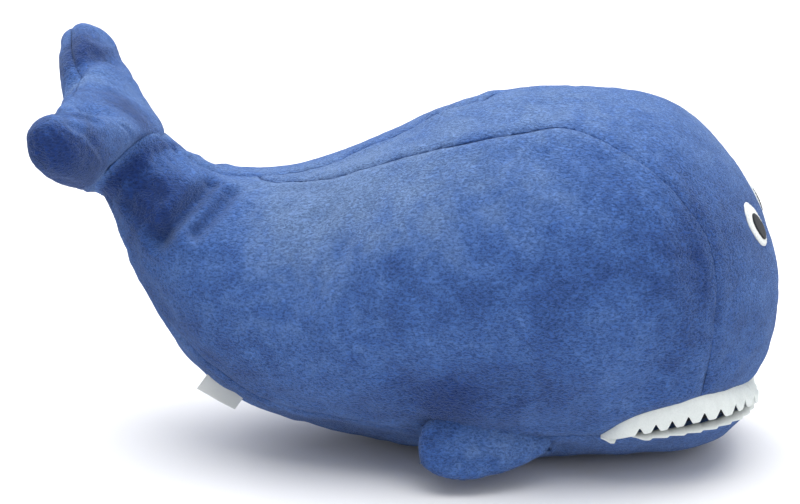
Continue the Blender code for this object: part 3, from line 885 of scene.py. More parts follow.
def raise_neck_hem(form, neck, settings):
    """The crisp raised edge with which the body ends over the root of the tail."""
    form.normal_update()
    for vert in form.verts:
        if vert[neck] > -5 * settings.neck_width:
            rise = math.exp(-(vert[neck] / settings.neck_width) ** 2)
            rise *= 1 - 0.8 * float(soft_step(vert.co.y, -0.020, 0.005))
            vert.co += vert.normal * settings.neck_rise * rise


def edge_path(form, layer_name, settings):
    """The mouth's edge on one side of its opening, from the right corner round the nose to the left corner."""
    layer = form.verts.layers.float[layer_name]
    points = [vert.co.copy() for vert in form.verts
              if vert[layer] == 0 and vert.is_boundary and vert.co.x > CORNER.x - 0.001]
    points.sort(key=lambda point: math.atan2(point.y, point.x - CORNER.x))
    return smoothed(points, settings.path_smoothing)


def smoothed(points, rounds):
    for _ in range(rounds):
        points = [points[0], *((a + 2 * b + c) / 4 for a, b, c in zip(points, points[1:], points[2:])), points[-1]]
    return points


def spaced(path, count):
    """Points at even steps along a path, and the path's length."""
    along = np.array([point[:] for point in path])
    lengths = np.concatenate([[0], np.cumsum(np.linalg.norm(np.diff(along, axis=0), axis=1))])
    wanted = np.linspace(0, lengths[-1], count)
    return np.stack([np.interp(wanted, lengths, along[:, axis]) for axis in range(3)], axis=1), lengths[-1]


def outward_of(points):
    """The level direction away from a mouth path, at each of its points."""
    along = np.gradient(points, axis=0)
    outward = np.stack([along[:, 1], -along[:, 0], np.zeros(len(points))], axis=1)
    return outward / np.maximum(np.linalg.norm(outward, axis=1), 1e-9)[:, None]


BODY_PANELS = (
    ("right_side_plush", lambda values, y: values["upper"] > 0 and values["gusset"] < 0 and y < 0),
    ("left_side_plush", lambda values, y: values["upper"] > 0 and values["gusset"] < 0 and y > 0),
    ("back_gusset_plush", lambda values, y: values["upper"] > 0 and values["gusset"] > 0),
    ("belly_and_jaw_plush", lambda values, y: values["upper"] < 0),
)


def body_coat():
    scene = bpy.context.scene
    form = coat_form()
    for place, (name, wanted) in enumerate(BODY_PANELS):
        layers = {layer: form.verts.layers.float[layer] for layer in ("upper", "gusset")}

        def accepted(face):
            values = {layer: face_side(face, layers[layer]) for layer in layers}
            return wanted(values, face.calc_center_median().y)

        mesh = panel_from(form, name, accepted)
        hemmed(mesh, scene.whale_seams.hem_depth)
        material = plush_material(name + "_pile", scene.whale_plush, (0, 0.2 * place, 0.4 * place))
        finished(name, mesh, material, scene.whale_plush, 4.0 * place)
    paths = {name: edge_path(form, layer, scene.whale_mouth) for name, layer in (("lip", "upper"), ("jaw", "lower"))}
    form.free()
    return paths


# ---- Mouth

STEPS_FOR_A_TOOTH = 14
LINING_THICKNESS = 0.0012


def sheet_mesh(rows):
    """A mesh from rows of points."""
    rows = np.array(rows)
    height, width = rows.shape[:2]
    faces = []
    for row in range(height - 1):
        for column in range(width - 1):
            first = row * width + column
            faces.append((first, first + 1, first + width + 1, first + width))
    mesh = bpy.data.meshes.new("sheet")
    mesh.from_pydata(rows.reshape(-1, 3).tolist(), [], faces)
    return mesh


def thick(mesh, thickness, smoothing=0):
    """Cloth of that thickness from a sheet, as much on one side of it as on the other."""
    obj = placed("thickened", mesh)
    wall = obj.modifiers.new("wall", "SOLIDIFY")
    wall.thickness = thickness
    wall.offset = 0
    return subdivided(obj, smoothing) if smoothing else applied(obj)


def mouth_sheet(path, inset, sag, settings):
    """A lining across the mouth, between the two sides of a mouth path."""
    count = settings.path_count | 1
    points, _ = spaced(path, count)
    points = points - outward_of(points) * inset
    half = count // 2
    rows = []
    shares = np.linspace(0, 1, 25)[:, None]
    for step in range(half):
        start, end = points[step], points[count - 1 - step]
        row = start + (end - start) * shares
        width = np.linalg.norm(end - start)
        row[:, 2] += sag * math.tanh(width / 0.06) * np.sin(np.pi * shares[:, 0])
        row[:, 2] += 0.0012 * noise_at(row, 60, sag) * np.sin(np.pi * shares[:, 0])
        rows.append(row)
    return sheet_mesh(rows)


def tooth_steps(path, settings):
    """The number of teeth along a mouth path, fine steps along it with their outward directions, and its length."""
    count = round(spaced(path, 2)[1] / settings.pitch)
    points, length = spaced(path, count * STEPS_FOR_A_TOOTH + 1)
    return count, points, outward_of(points), length


def tooth_wave(place):
    """0 at a notch between two teeth and 1 at a tip, for a place counted in teeth; the tips are wide and blunt."""
    from_notch = 1 - 2 * abs(place - math.floor(place) - 0.5)
    return min(from_notch / 0.56, 1)


def upper_strip(path, settings):
    """The upper teeth: a felt strip sewn behind the lip, notched below a continuous band."""
    count, points, outward, length = tooth_steps(path, settings)
    fine = len(points)
    front = soft_step(points[:, 0], CORNER.x + 0.062, CORNER.x + 0.086)
    turned_out = settings.flare * front * (1 - soft_step(points[:, 1], -0.040, -0.008))
    columns = []
    for step in range(fine):
        share = step / (fine - 1)
        to_corner = min(share, 1 - share) * length
        room = settings.upper_length * (1 - math.exp(-(to_corner + 0.0015) / 0.022))
        notch = round(share * count)
        wave = tooth_wave(share * count) if 3 <= notch <= count - 3 else 1
        band = settings.band_share * (1 - 0.3 * front[step])
        reach = room * (band + (1 - band) * wave)
        column = []
        for row in range(settings.rows + 1):
            down = row / settings.rows
            flare = turned_out[step] * down**1.5 + 0.0010 * math.sin(share * 31) * down
            inward = settings.inset * (1 - down) ** 2
            lifted = reach * (1 - 0.30 * front[step])
            z = points[step][2] + settings.sewn_in - (lifted + settings.sewn_in) * down
            place = points[step] + outward[step] * (flare - inward)
            column.append((place[0], place[1], z))
        columns.append(column)
    return thick(sheet_mesh(columns), settings.felt, 1)


def lower_strip(path, settings):
    """The lower teeth: a felt strip folded outwards over the jaw's rim, in wide overlapping tabs."""
    count, points, outward, length = tooth_steps(path, settings)
    fine = len(points)
    profile = ((-0.0014, -0.0022), (-0.0008, -0.0004), (0.0010, 0.0005), (0.0026, -0.0004))
    columns = []
    for step in range(fine):
        share = step / (fine - 1)
        phase = share * count
        part = phase - math.floor(phase)
        wave = part / 0.84 if part < 0.84 else (1 - part) / 0.16
        to_corner = min(share, 1 - share) * length
        end = min(1.0, 0.3 + to_corner / 0.008)
        if to_corner > 0.009:
            end = 0.3 + 0.7 * float(soft_step(to_corner, 0.016, 0.026))
        reach = settings.lower_length * (0.62 + 0.38 * wave) * end
        lift = 0.0007 * (wave - 0.5)
        column = []
        for out, up in (*profile, (0.0026 + 0.35 * reach, -0.35 * reach), (0.0026 + 0.5 * reach, -0.85 * reach)):
            place = points[step] + outward[step] * (out * (0.5 + 0.5 * end))
            column.append((place[0], place[1], place[2] + up + lift))
        columns.append(column)
    return thick(sheet_mesh(columns), settings.felt, 1)


# ---- Pads: the flukes and the fins

TAIL_DENTS = (
    (((-0.2520, 0.0250, 0.2130), (-0.2446, 0.0284, 0.2186), (-0.2388, 0.0311, 0.2242), (-0.2354, 0.0402, 0.2275),
      (-0.2315, 0.0456, 0.2280), (-0.2268, 0.0543, 0.2284), (-0.2200, 0.0600, 0.2250)), 0.0060, 0.0080),
    (((-0.2470, -0.0580, 0.2060), (-0.2400, -0.0600, 0.2180), (-0.2300, -0.0620, 0.2250), (-0.2200, -0.0600, 0.2240),
      (-0.2143, -0.0455, 0.2205)), 0.0080, 0.0100),
    (((-0.2420, -0.0780, 0.2220), (-0.2360, -0.0760, 0.2260)), 0.0045, 0.0130),
    (((-0.2480, -0.0300, 0.2190), (-0.2480, -0.0500, 0.2240)), 0.0050, 0.0090),
    (((-0.2479, 0.0300, 0.2217), (-0.2463, 0.0, 0.2178)), 0.0040, 0.0090),
    (((-0.2170, 0.0700, 0.2278), (-0.2017, 0.0300, 0.2130)), 0.0042, 0.0150),
)
# Creased folds, whose valleys are also given painted shade: the line of each, its depth and its width
TAIL_FOLDS = (
    (((-0.2352, 0.0200, 0.2240), (-0.2300, 0.0000, 0.2215), (-0.2275, -0.0200, 0.2225), (-0.2240, -0.0380, 0.2240)),
     0.0022, 0.0030),
    (((-0.2180, -0.0954, 0.2241), (-0.2123, -0.0936, 0.2191), (-0.2072, -0.0886, 0.2125)), 0.0020, 0.0035),
    (((-0.2167, -0.0801, 0.2246), (-0.2129, -0.0761, 0.2224), (-0.2098, -0.0720, 0.2195)), 0.0018, 0.0035),
)
# Creased folds, whose valleys are also given painted shade
FIN_FOLDS = (
    (((-0.0060, -0.0940, 0.0200), (-0.0020, -0.0925, 0.0240)), 0.0010, 0.0025),
    (((0.0060, -0.0925, 0.0180), (0.0090, -0.0900, 0.0225)), 0.0010, 0.0025),
    (((0.0180, -0.0890, 0.0200), (0.0200, -0.0860, 0.0240)), 0.0009, 0.0025),
)
TAIL_TURN = Matrix.Rotation(TAIL_TWIST, 3, Vector((math.sin(TAIL_RISE), 0, math.cos(TAIL_RISE) + 1)))
TAIL_FACING = TAIL_TURN @ Vector((math.sin(TAIL_RISE), 0, math.cos(TAIL_RISE)))


def tail_rings():
    along = Vector((-math.cos(TAIL_RISE), 0, math.sin(TAIL_RISE)))
    normal = Vector((math.sin(TAIL_RISE), 0, math.cos(TAIL_RISE)))
    half = []
    for span, lead, trail, thickness in TAIL_STATIONS:
        centre = along * (lead + trail) / 2 * TAIL_LENGTH
        across = along * (trail - lead) / 2 * TAIL_LENGTH
        half.append((span * TAIL_HALF_SPAN, centre, across, normal * thickness * TAIL_THICKNESS))
    whole = [(-y, *rest) for y, *rest in reversed(half[1:])] + half
    rings = []
    for y, centre, across, up in whole:
        turned = TAIL_ROOT + TAIL_TURN @ (centre + Vector((0, y, 0)))
        rings.append(ring(turned, TAIL_TURN @ across, TAIL_TURN @ up, PAD_RING_COUNT))
    return rings


def fin_axes():
    chord = Vector((0, -math.cos(FIN_LEAN), -math.sin(FIN_LEAN)))
    normal = Vector((0, -math.sin(FIN_LEAN), math.cos(FIN_LEAN)))
    along = Vector((-math.cos(FIN_SPLAY), 0, 0)) + normal * math.sin(FIN_SPLAY)
    return along, chord, chord.cross(along) * -1


def fin_rings():
    along, chord, normal = fin_axes()
    rings = []
    for place, middle, width, thickness in FIN_STATIONS:
        centre = FIN_ROOT + along * place * FIN_LENGTH + chord * middle * FIN_WIDTH
        rings.append(ring(centre, chord * width * FIN_WIDTH, normal * thickness * FIN_THICKNESS / 2, PAD_RING_COUNT))
    return rings


def pad_panels(name, rings, root, facing, dents, folds, swelling, root_fit, seam_shift, strength):
    """A stuffed pad of two panels sewn round their edge, as one mesh for each panel: upper, then lower."""
    scene = bpy.context.scene
    mesh = refined(cage_mesh(name, rings), 3)
    points = points_of(mesh)
    held = 1 - soft_step(np.abs((points - np.array(root)) @ np.array(facing)), 0.003, 0.006)
    move_to(mesh, root_fit(stuffed(mesh, held, scene.whale_stuffing)))
    points = points_of(mesh)
    move_to(mesh, points + normals_of(mesh) * folded(points, dents, 0.0)[0][:, None])
    mesh = refined(mesh, levels(5) - 3)
    points = points_of(mesh)
    shift = folded(points, folds)[0]
    shift += swelling * noise_at(points, 40, 1.0) + 0.5 * swelling * noise_at(points, 85, 4.0)
    move_to(mesh, points + normals_of(mesh) * shift[:, None])
    form = bmesh.new()
    form.from_mesh(mesh)
    points = form_points(form)
    cut_along(form, (points - np.array(root)) @ np.array(facing) + seam_shift(points), "edge")
    layer = form.verts.layers.float["edge"]
    # Painted shade along the folds' valleys
    dark = folded(form_points(form), folds)[1]
    sew(form, [vert for vert in form.verts if vert[layer] == 0], scene.whale_seams, 1.3, strength, dark)
    layer = form.verts.layers.float["edge"]
    panels = [panel_from(form, name, lambda face, side=side: face_side(face, layer) * side > 0) for side in (1, -1)]
    form.free()
    for mesh in panels:
        hemmed(mesh, scene.whale_seams.hem_depth * 0.7)
    return panels


def fluke_seam_shift(points):
    """The seam runs lower round the right fluke, and higher on the rear edge between the flukes."""
    lower = 0.010 * soft_step(-points[:, 1], 0.020, 0.060)
    higher = 0.006 * np.exp(-((points[:, 1] + 0.010) / 0.030) ** 2) * soft_step(-points[:, 0], 0.226, 0.240)
    return lower - higher


def fluke_seam_strength(places):
    return 1 - 0.88 * soft_step(-places[:, 1], 0.040, 0.070)


def flukes():
    scene = bpy.context.scene
    panels = pad_panels("tail", tail_rings(), TAIL_ROOT, TAIL_FACING, TAIL_DENTS, TAIL_FOLDS, 0.0012,
                        set_in_neck, fluke_seam_shift, fluke_seam_strength)
    made = []
    for side, mesh in zip(("upper", "lower"), panels):
        name = f"tail_{side}_plush"
        material = plush_material(name + "_pile", scene.whale_plush, (0.5, 0, 1.2))
        made.append(finished(name, mesh, material, scene.whale_plush, 30.0))
    return made


def fins():
    scene = bpy.context.scene
    panels = pad_panels("fin", fin_rings(), FIN_ROOT, fin_axes()[2], (), FIN_FOLDS, 0.0006, lambda points: points,
                        lambda points: 0, lambda places: np.full(len(places), 0.8))
    made = []
    for side, mesh in zip(("outer", "inner"), panels):
        other = mesh.copy()
        other.transform(Matrix.Scale(-1, 4, Vector((0, 1, 0))))
        other.flip_normals()
        for hand, copy in (("right", mesh), ("left", other)):
            name = f"{hand}_fin_{side}_plush"
            material = plush_material(name + "_pile", scene.whale_plush, (0, 0.3, 0.2))
            made.append(finished(name, copy, material, scene.whale_plush, 50.0))
    return made


# ---- Small pieces

# The eyes' centres and stitched rims, as shares of the white ovals, and how far the centres are set in and down
EYE_CENTRE = (0.56, 0.60)
EYE_CENTRE_SHIFT = (0.0008, 0.0015)
EYE_RIM = (0.455, 0.463)
EYE_RIM_STEPS = 96
LABEL_STEPS = 24
# Rays towards the whale's front start here
IN_FRONT = 0.3


def stitch_tree():
    """Geometry Nodes that lay a row of thread stitches along a line, each turned a little, with a fixed seed."""
    tree = bpy.data.node_groups.new("stitch_row", "GeometryNodeTree")
    tree.interface.new_socket("Line", in_out="INPUT", socket_type="NodeSocketGeometry")
    for name, kind in (("Spacing", "NodeSocketFloat"), ("Length", "NodeSocketFloat"), ("Thread", "NodeSocketFloat"),
                       ("Seed", "NodeSocketInt"), ("Material", "NodeSocketMaterial")):
        tree.interface.new_socket(name, in_out="INPUT", socket_type=kind)
    tree.interface.new_socket("Stitches", in_out="OUTPUT", socket_type="NodeSocketGeometry")

    def node(kind, **inputs):
        made = tree.nodes.new(kind)
        for name, value in inputs.items():
            if isinstance(value, bpy.types.NodeSocket):
                tree.links.new(value, made.inputs[name.replace("_", " ")])
            else:
                made.inputs[name.replace("_", " ")].default_value = value
        return made

    given = tree.nodes.new("NodeGroupInput").outputs
    curve = node("GeometryNodeMeshToCurve", Mesh=given["Line"])
    even = tree.nodes.new("GeometryNodeResampleCurve")
    even.mode = "LENGTH"
    tree.links.new(curve.outputs[0], even.inputs["Curve"])
    tree.links.new(given["Spacing"], even.inputs["Length"])
    bead = node("GeometryNodeMeshIcoSphere", Radius=0.5, Subdivisions=2)
    size = node("ShaderNodeCombineXYZ", X=given["Thread"], Y=given["Thread"], Z=given["Length"])
    tangent = tree.nodes.new("GeometryNodeInputTangent")
    wander = tree.nodes.new("FunctionNodeRandomValue")
    wander.data_type = "FLOAT_VECTOR"
    wander.inputs[0].default_value = (-0.16, -0.16, -0.16)
    wander.inputs[1].default_value = (0.16, 0.16, 0.16)
    tree.links.new(given["Seed"], wander.inputs["Seed"])
    heading = tree.nodes.new("ShaderNodeVectorMath")
    tree.links.new(tangent.outputs[0], heading.inputs[0])
    tree.links.new(wander.outputs[0], heading.inputs[1])
    turn = tree.nodes.new("FunctionNodeAlignRotationToVector")
    turn.axis = "Z"
    tree.links.new(heading.outputs[0], turn.inputs["Vector"])
    laid = node("GeometryNodeInstanceOnPoints", Points=even.outputs[0], Instance=bead.outputs["Mesh"],
                Rotation=turn.outputs[0], Scale=size.outputs[0])
    real = node("GeometryNodeRealizeInstances", Geometry=laid.outputs[0])
    coloured = node("GeometryNodeSetMaterial", Geometry=real.outputs[0], Material=given["Material"])
    end = tree.nodes.new("NodeGroupOutput")
    tree.links.new(coloured.outputs[0], end.inputs["Stitches"])
    return tree


def stitch_row(name, points, seed, settings, material):
    """A row of stitches along points, as a plain mesh."""
    mesh = bpy.data.meshes.new(name)
    mesh.from_pydata([tuple(point) for point in points], [(i, i + 1) for i in range(len(points) - 1)], [])
    obj = placed(name, mesh)
    laid = obj.modifiers.new("stitches", "NODES")
    laid.node_group = bpy.data.node_groups.get("stitch_row") or stitch_tree()
    values = {"Spacing": settings.spacing, "Length": settings.length, "Thread": settings.thread, "Seed": seed,
              "Material": material}
    for socket in laid.node_group.interface.items_tree:
        if socket.item_type == "SOCKET" and socket.in_out == "INPUT" and socket.name in values:
            laid[socket.identifier] = values[socket.name]
    mesh = applied(obj)
    return finished(name, mesh, material)


def tree_of(name):
    obj = bpy.data.objects.get(name)
    if obj is None:
        raise RuntimeError(f"{name} has to be made first")
    mesh = obj.data
    faces = [tuple(face.vertices) for face in mesh.polygons]
    return BVHTree.FromPolygons([vert.co.copy() for vert in mesh.vertices], faces)


def front_place(tree, y, z):
    """The place and the normal where the whale's front is met from ahead."""
    return tree.ray_cast(Vector((IN_FRONT, y, z)), Vector((-1, 0, 0)))[:2]


def front_patch(tree, centre_y, centre_z, width, height, thickness):
    """A thin oval of felt on the whale's front: closed behind, its rim rounded."""
    profile = ((0.0, 1.0), (0.3, 1.0), (0.6, 0.99), (0.82, 0.96), (0.93, 0.86), (0.985, 0.62), (1.0, 0.25),
               (0.97, -0.35), (0.6, -0.35), (0.0, -0.35))
    around = 72
    rows = []
    for radius, rise in profile:
        row = []
        for step in range(around + 1):
            angle = 2 * math.pi * step / around
            ragged = 1 + 0.006 * math.sin(11 * angle) + 0.004 * math.sin(23 * angle + 1)
            y = centre_y + radius * ragged * width / 2 * math.cos(angle)
            z = centre_z + radius * ragged * height / 2 * math.sin(angle)
            place, normal = front_place(tree, y, z)
            row.append(place + normal * thickness * rise)
        rows.append(row)
    form = bmesh.new()
    form.from_mesh(sheet_mesh(rows))
    bmesh.ops.remove_doubles(form, verts=form.verts, dist=1e-6)
    bmesh.ops.recalc_face_normals(form, faces=form.faces)
    mesh = bpy.data.meshes.new("patch")
    form.to_mesh(mesh)
    form.free()
    return mesh


def eyes():
    scene = bpy.context.scene
    settings = scene.whale_eyes
    tree = tree_of("back_gusset_plush")
    felt = felt_material("eye_felt", settings.white)
    dark = felt_material("eye_centre_felt", settings.dark)
    thread = felt_material("eye_thread", settings.thread_colour)
    made = []
    for hand, side in (("right", -1), ("left", 1)):
        y = side * settings.apart / 2
        white = front_patch(tree, y, settings.level, settings.width, settings.height, settings.felt)
        made.append(finished(hand + "_eye_white", white, felt))
        upper = tree_of(hand + "_eye_white")
        aside, down = EYE_CENTRE_SHIFT
        centre = front_patch(upper, y - side * aside, settings.level - down, settings.width * EYE_CENTRE[0],
                             settings.height * EYE_CENTRE[1], settings.felt * 0.8)
        made.append(finished(hand + "_eye_centre", centre, dark))
        rim = []
        for step in range(EYE_RIM_STEPS + 1):
            angle = 2 * math.pi * step / EYE_RIM_STEPS
            place, normal = front_place(upper, y + settings.width * EYE_RIM[0] * math.cos(angle),
                                        settings.level + settings.height * EYE_RIM[1] * math.sin(angle))
            rim.append(place + normal * 0.00005)
        made.append(stitch_row(hand + "_eye_stitches", rim, 3 + side, scene.whale_stitches, thread))
        for obj in made[-3:]:
            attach(obj, "whale_body")
        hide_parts(hand + "_eye")


def care_label():
    """A blank satin ribbon, folded in half, whose two ends are sewn into the lower seam."""
    scene = bpy.context.scene
    settings = scene.whale_label
    tree = tree_of("belly_and_jaw_plush")
    ends = []
    for side in (-1, 1):
        below = Vector((settings.place + side * settings.length / 2, settings.side, -0.1))
        ends.append(tree.ray_cast(below, Vector((0, 0, 1)))[0])
    along = (ends[1] - ends[0]).normalized()
    outward = (Vector((0, 1, 0)).cross(along) - Vector((0, settings.lean, 0))).normalized()
    middle = (ends[0] + ends[1]) / 2
    gap = settings.loop
    profile = [(-0.004, gap * 0.5), (0.0, gap * 0.8), (settings.drop * 0.5, gap), (settings.drop * 0.85, gap * 0.9)]
    profile += [(settings.drop * 0.97, gap * 0.5), (settings.drop, 0.0)]
    profile += [(out, -side) for out, side in reversed(profile[:-1])]
    rows = []
    for step in range(LABEL_STEPS + 1):
        share = step / LABEL_STEPS - 0.5
        shown = outward * (1 - settings.tuck * (share + 0.5))
        row = []
        for out, side in profile:
            hang = max(out, 0) / settings.drop
            curl = settings.curl * hang * hang * (0.4 + 0.6 * math.sin(3.0 * share + 0.6))
            place = middle + along * share * settings.length * (1 - 0.02 * hang) + shown * out
            row.append(place + Vector((0, side + curl, 0)))
        rows.append(row)
    satin = satin_material(settings)
    label = finished("care_label_ribbon", thick(sheet_mesh(rows), settings.ribbon, 2), satin)
    line = [middle + along * (step / LABEL_STEPS - 0.5) * settings.length * 0.94 + outward * 0.0012
            + Vector((0, -gap - settings.ribbon * 0.5, 0)) for step in range(LABEL_STEPS + 1)]
    stitches = stitch_row("care_label_stitches", line, 7, scene.whale_stitches, satin)
    for obj in (label, stitches):
        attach(obj, "whale_body")
    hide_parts("care_label")


# ---- Stage

# The backdrop's section: how far behind the whale each line of it lies, and how high
BACKDROP = ((-6.0, 0), (0, 0), (4.4, 0), (5.2, 0.10), (5.8, 0.45), (6.1, 1.1), (6.2, 4.0))
BACKDROP_SIDES = (-6.0, -3.0, 0.0, 3.0, 6.0)
# Each light's name, place and size; its power is the setting of the same first word
LIGHTS = (
    ("top_light", (0.05, 0.10, 1.6), 2.2),
    ("front_light", (1.3, -1.4, 1.2), 1.2),
    ("rear_light", (-1.0, 1.2, 1.3), 1.0),
)
LIT_HEIGHT = 0.08
PHOTO_WIDTH = 800
LENS = 135
CAMERA_DISTANCE = 1.8
CAMERA_AIM = Vector((0, 0, 0.105))
# How far the photograph's frame is moved aside and up, in its pixels
FRAME_SHIFT = (-70, 25)


def pointed(name, data, place, target):
    """A light or a camera at a place, turned to a target."""
    obj = bpy.data.objects.new(name, data)
    obj.location = place
    obj.rotation_euler = (target - place).to_track_quat("-Z", "Y").to_euler()
    bpy.context.scene.collection.objects.link(obj)
    return obj


def stage():
    """A pale floor that rises behind, soft studio lights from above, and the photograph's point of view."""
    scene = bpy.context.scene
    settings = scene.whale_stage
    mesh = sheet_mesh([[(x, depth, height) for x in BACKDROP_SIDES] for depth, height in BACKDROP])
    shading = Shading("floor_paper")
    paper = shading.cloud(shading.place(), 900, 2)
    shading.set(Base_Color=shading.mix(paper, opaque(settings.floor_shade), opaque(settings.floor_colour)),
                Roughness=0.9, Specular_IOR_Level=0.1)
    mesh.materials.append(shading.material)
    floor = placed("floor", mesh)
    floor.data.shade_smooth()
    world = bpy.data.worlds.new("studio")
    world.use_nodes = True
    back = world.node_tree.nodes["Background"]
    back.inputs["Color"].default_value = opaque(settings.sky_colour)
    back.inputs["Strength"].default_value = settings.sky_strength
    scene.world = world
    for name, place, size in LIGHTS:
        light = bpy.data.lights.new(name, "AREA")
        light.energy = getattr(settings, name.replace("light", "power"))
        light.size = size
        pointed(name, light, Vector(place), Vector((0, 0, LIT_HEIGHT)))
    camera = bpy.data.cameras.new("camera")
    camera.lens = LENS
    camera.shift_x, camera.shift_y = (shift / PHOTO_WIDTH for shift in FRAME_SHIFT)
    camera.clip_start = 0.05
    azimuth, elevation = settings.azimuth, settings.elevation
    back = Vector((math.sin(azimuth) * math.cos(elevation), -math.cos(azimuth) * math.cos(elevation),
                   math.sin(elevation)))
    scene.camera = pointed("camera", camera, CAMERA_AIM + back * CAMERA_DISTANCE, CAMERA_AIM)
    scene.view_settings.view_transform = "Standard"


# ---- Add-on

def colour_value(name, description, default):
    return FloatVectorProperty(name=name, description=description, default=default, min=0, max=1, size=3,
                               subtype="COLOR")


def size_value(name, description, default):
    return FloatProperty(name=name, description=description, default=default, unit="LENGTH", precision=5)


def plain_value(name, description, default):
    return FloatProperty(name=name, description=description, default=default, precision=3)


class WhalePlushSettings(PropertyGroup):
    """The plush: its colours, its pile and its sheen."""
    # Shade, Body and Light are picked by a tone that carries the painted top light and the painted shade and
    # highlight patches, as well as the brushing
    shade_colour: colour_value("Shade", "Colour of pile brushed away from the eye", (0.010, 0.042, 0.215))
    body_colour: colour_value("Body", "Colour of pile at rest", (0.076, 0.186, 0.545))
    light_colour: colour_value("Light", "Colour of pile brushed towards the eye", (0.180, 0.300, 0.585))
    # Also the colour of the painted shade in the folds' valleys
    seam_and_fold_shade_colour: colour_value("Seam", "Colour deep in a seam", (0.013, 0.034, 0.130))
    sheen_colour: colour_value("Sheen tint", "Colour of the light on the pile's tips", (0.55, 0.72, 1.0))
    # Painted shade between the pile's tufts
    root_shade: plain_value("Root shade", "How dark the pile is between its tips", 0.34)
    sheen: plain_value("Sheen", "How bright the pile's tips are at a grazing view", 0.30)
    pile_depth: size_value("Pile depth", "Depth of the pile's relief", 0.0011)
    pile_relief: plain_value("Pile relief", "Strength of the pile's relief", 0.85)
    unevenness: size_value("Unevenness", "Height of the soft bumps in the pile", 0.0008)
    # Painted top light: how much lighter the pile is made where it faces up
    painted_top_light: plain_value("Nap contrast", "How much lighter pile looks that faces up", 0.34)


class WhaleSeamSettings(PropertyGroup):
    """The sewing lines of the plush."""
    depth: size_value("Depth", "How far the cloth is drawn in at a seam", 0.0016)
    width: size_value("Width", "Half width of the groove along a seam", 0.0020)
    swell: size_value("Swell", "Height of the cloth beside a seam", 0.0005)
    pucker_depth: size_value("Pucker depth", "Depth of the small gathers along a seam", 0.0011)
    pucker_spacing: size_value("Pucker spacing", "Distance between gathers", 0.009)
    pucker_reach: size_value("Pucker reach", "How far a gather runs into the panel", 0.008)
    hem_depth: size_value("Hem depth", "How far a panel's edge is turned in", 0.004)
    neck_rise: size_value("Neck rise", "Height of the edge over the tail's root", 0.0026)
    neck_width: size_value("Neck width", "Width of the edge over the tail's root", 0.0032)
    shade: plain_value("Shade", "How dark a seam is", 0.5)
    # Painted shade at the bottom of a fold
    painted_fold_shade: plain_value("Fold shade", "How dark the bottom of a fold is", 0.90)
    shade_width: size_value("Shade width", "Half width of the dark line in a seam", 0.0010)


class WhaleStuffingSettings(PropertyGroup):
    """The simulation that presses the cloth outwards between its seams."""
    pressure: plain_value("Pressure", "Pressure of the stuffing in the cloth simulation", 4.0)
    stiffness: plain_value("Stiffness", "Stiffness of the cloth", 15.0)
    slack: plain_value("Slack", "How much larger the cloth is than the form", 0.02)
    cap: size_value("Cap", "The furthest that any point may move", 0.0028)
    kept_size: plain_value("Kept size", "Share of the swelling that is taken off the whole form again", 0.65)
    steps: IntProperty(name="Steps", description="Frames that the simulation runs for", default=20)


class WhaleMouthSettings(PropertyGroup):
    """The felt teeth and the mouth's lining."""
    felt_colour: colour_value("Felt", "Colour of the teeth", (0.74, 0.78, 0.76))
    lining_colour: colour_value("Lining", "Colour inside the mouth", (0.020, 0.028, 0.048))
    pitch: size_value("Pitch", "Distance between two teeth", 0.0099)
    upper_length: size_value("Upper length", "Height of the upper teeth below the lip", 0.0168)
    lower_length: size_value("Lower length", "Length of the lower teeth outside the jaw's rim", 0.0048)
    band_share: plain_value("Band share", "Share of the upper teeth's height above their notches", 0.66)
    felt: size_value("Felt thickness", "Thickness of the felt", 0.0011)
    flare: size_value("Flare", "How far the front teeth stand out", 0.0085)
    inset: size_value("Inset", "How far behind the lip the teeth are sewn", 0.0022)
    sewn_in: size_value("Sewn in", "Height of the strip that is sewn in above the lip", 0.0030)
    rows: IntProperty(name="Rows", description="Steps down the upper strip", default=8)
    path_count: IntProperty(name="Path points", description="Points along the mouth's edge", default=181)
    path_smoothing: IntProperty(name="Path smoothing", description="Rounds of smoothing of the edge", default=12)


class WhaleStitchSettings(PropertyGroup):
    """The rows of stitches."""
    spacing: size_value("Spacing", "Distance between two stitches", 0.0024)
    length: size_value("Length", "Length of a stitch", 0.0019)
    thread: size_value("Thread", "Thickness of the thread", 0.00045)


class WhaleEyeSettings(PropertyGroup):
    """The plain oval eyes."""
    white: colour_value("White", "Colour of the outer oval", (0.80, 0.82, 0.80))
    dark: colour_value("Dark", "Colour of the centre", (0.018, 0.020, 0.026))
    thread_colour: colour_value("Thread", "Colour of the thread", (0.62, 0.66, 0.70))
    width: size_value("Width", "Width of an eye", 0.018)
    height: size_value("Height", "Height of an eye", 0.026)
    apart: size_value("Apart", "Distance between the eyes' middles", 0.058)
    level: size_value("Level", "Height of the eyes above the ground", 0.150)
    felt: size_value("Felt", "Thickness of the felt", 0.0012)


class WhaleLabelSettings(PropertyGroup):
    """The blank care label."""
    satin_colour: colour_value("Satin", "Colour of the ribbon", (0.70, 0.72, 0.70))
    place: size_value("Place", "Place of the label along the whale", -0.1445)
    side: size_value("Side", "Place of the label across the whale", -0.035)
    length: size_value("Length", "Length of the label along the seam", 0.026)
    lean: plain_value("Lean", "How far the label leans to the whale's right", 0.25)
    drop: size_value("Drop", "How far the label stands out of the seam", 0.0115)
    tuck: plain_value("Tuck", "Share of the drop that is hidden at the label's front end", 0.35)
    ribbon: size_value("Ribbon", "Thickness of the ribbon", 0.0003)
    loop: size_value("Loop", "Half of the gap between the ribbon's two layers", 0.0006)
    curl: size_value("Curl", "How far the label's end bends to one side", -0.0022)


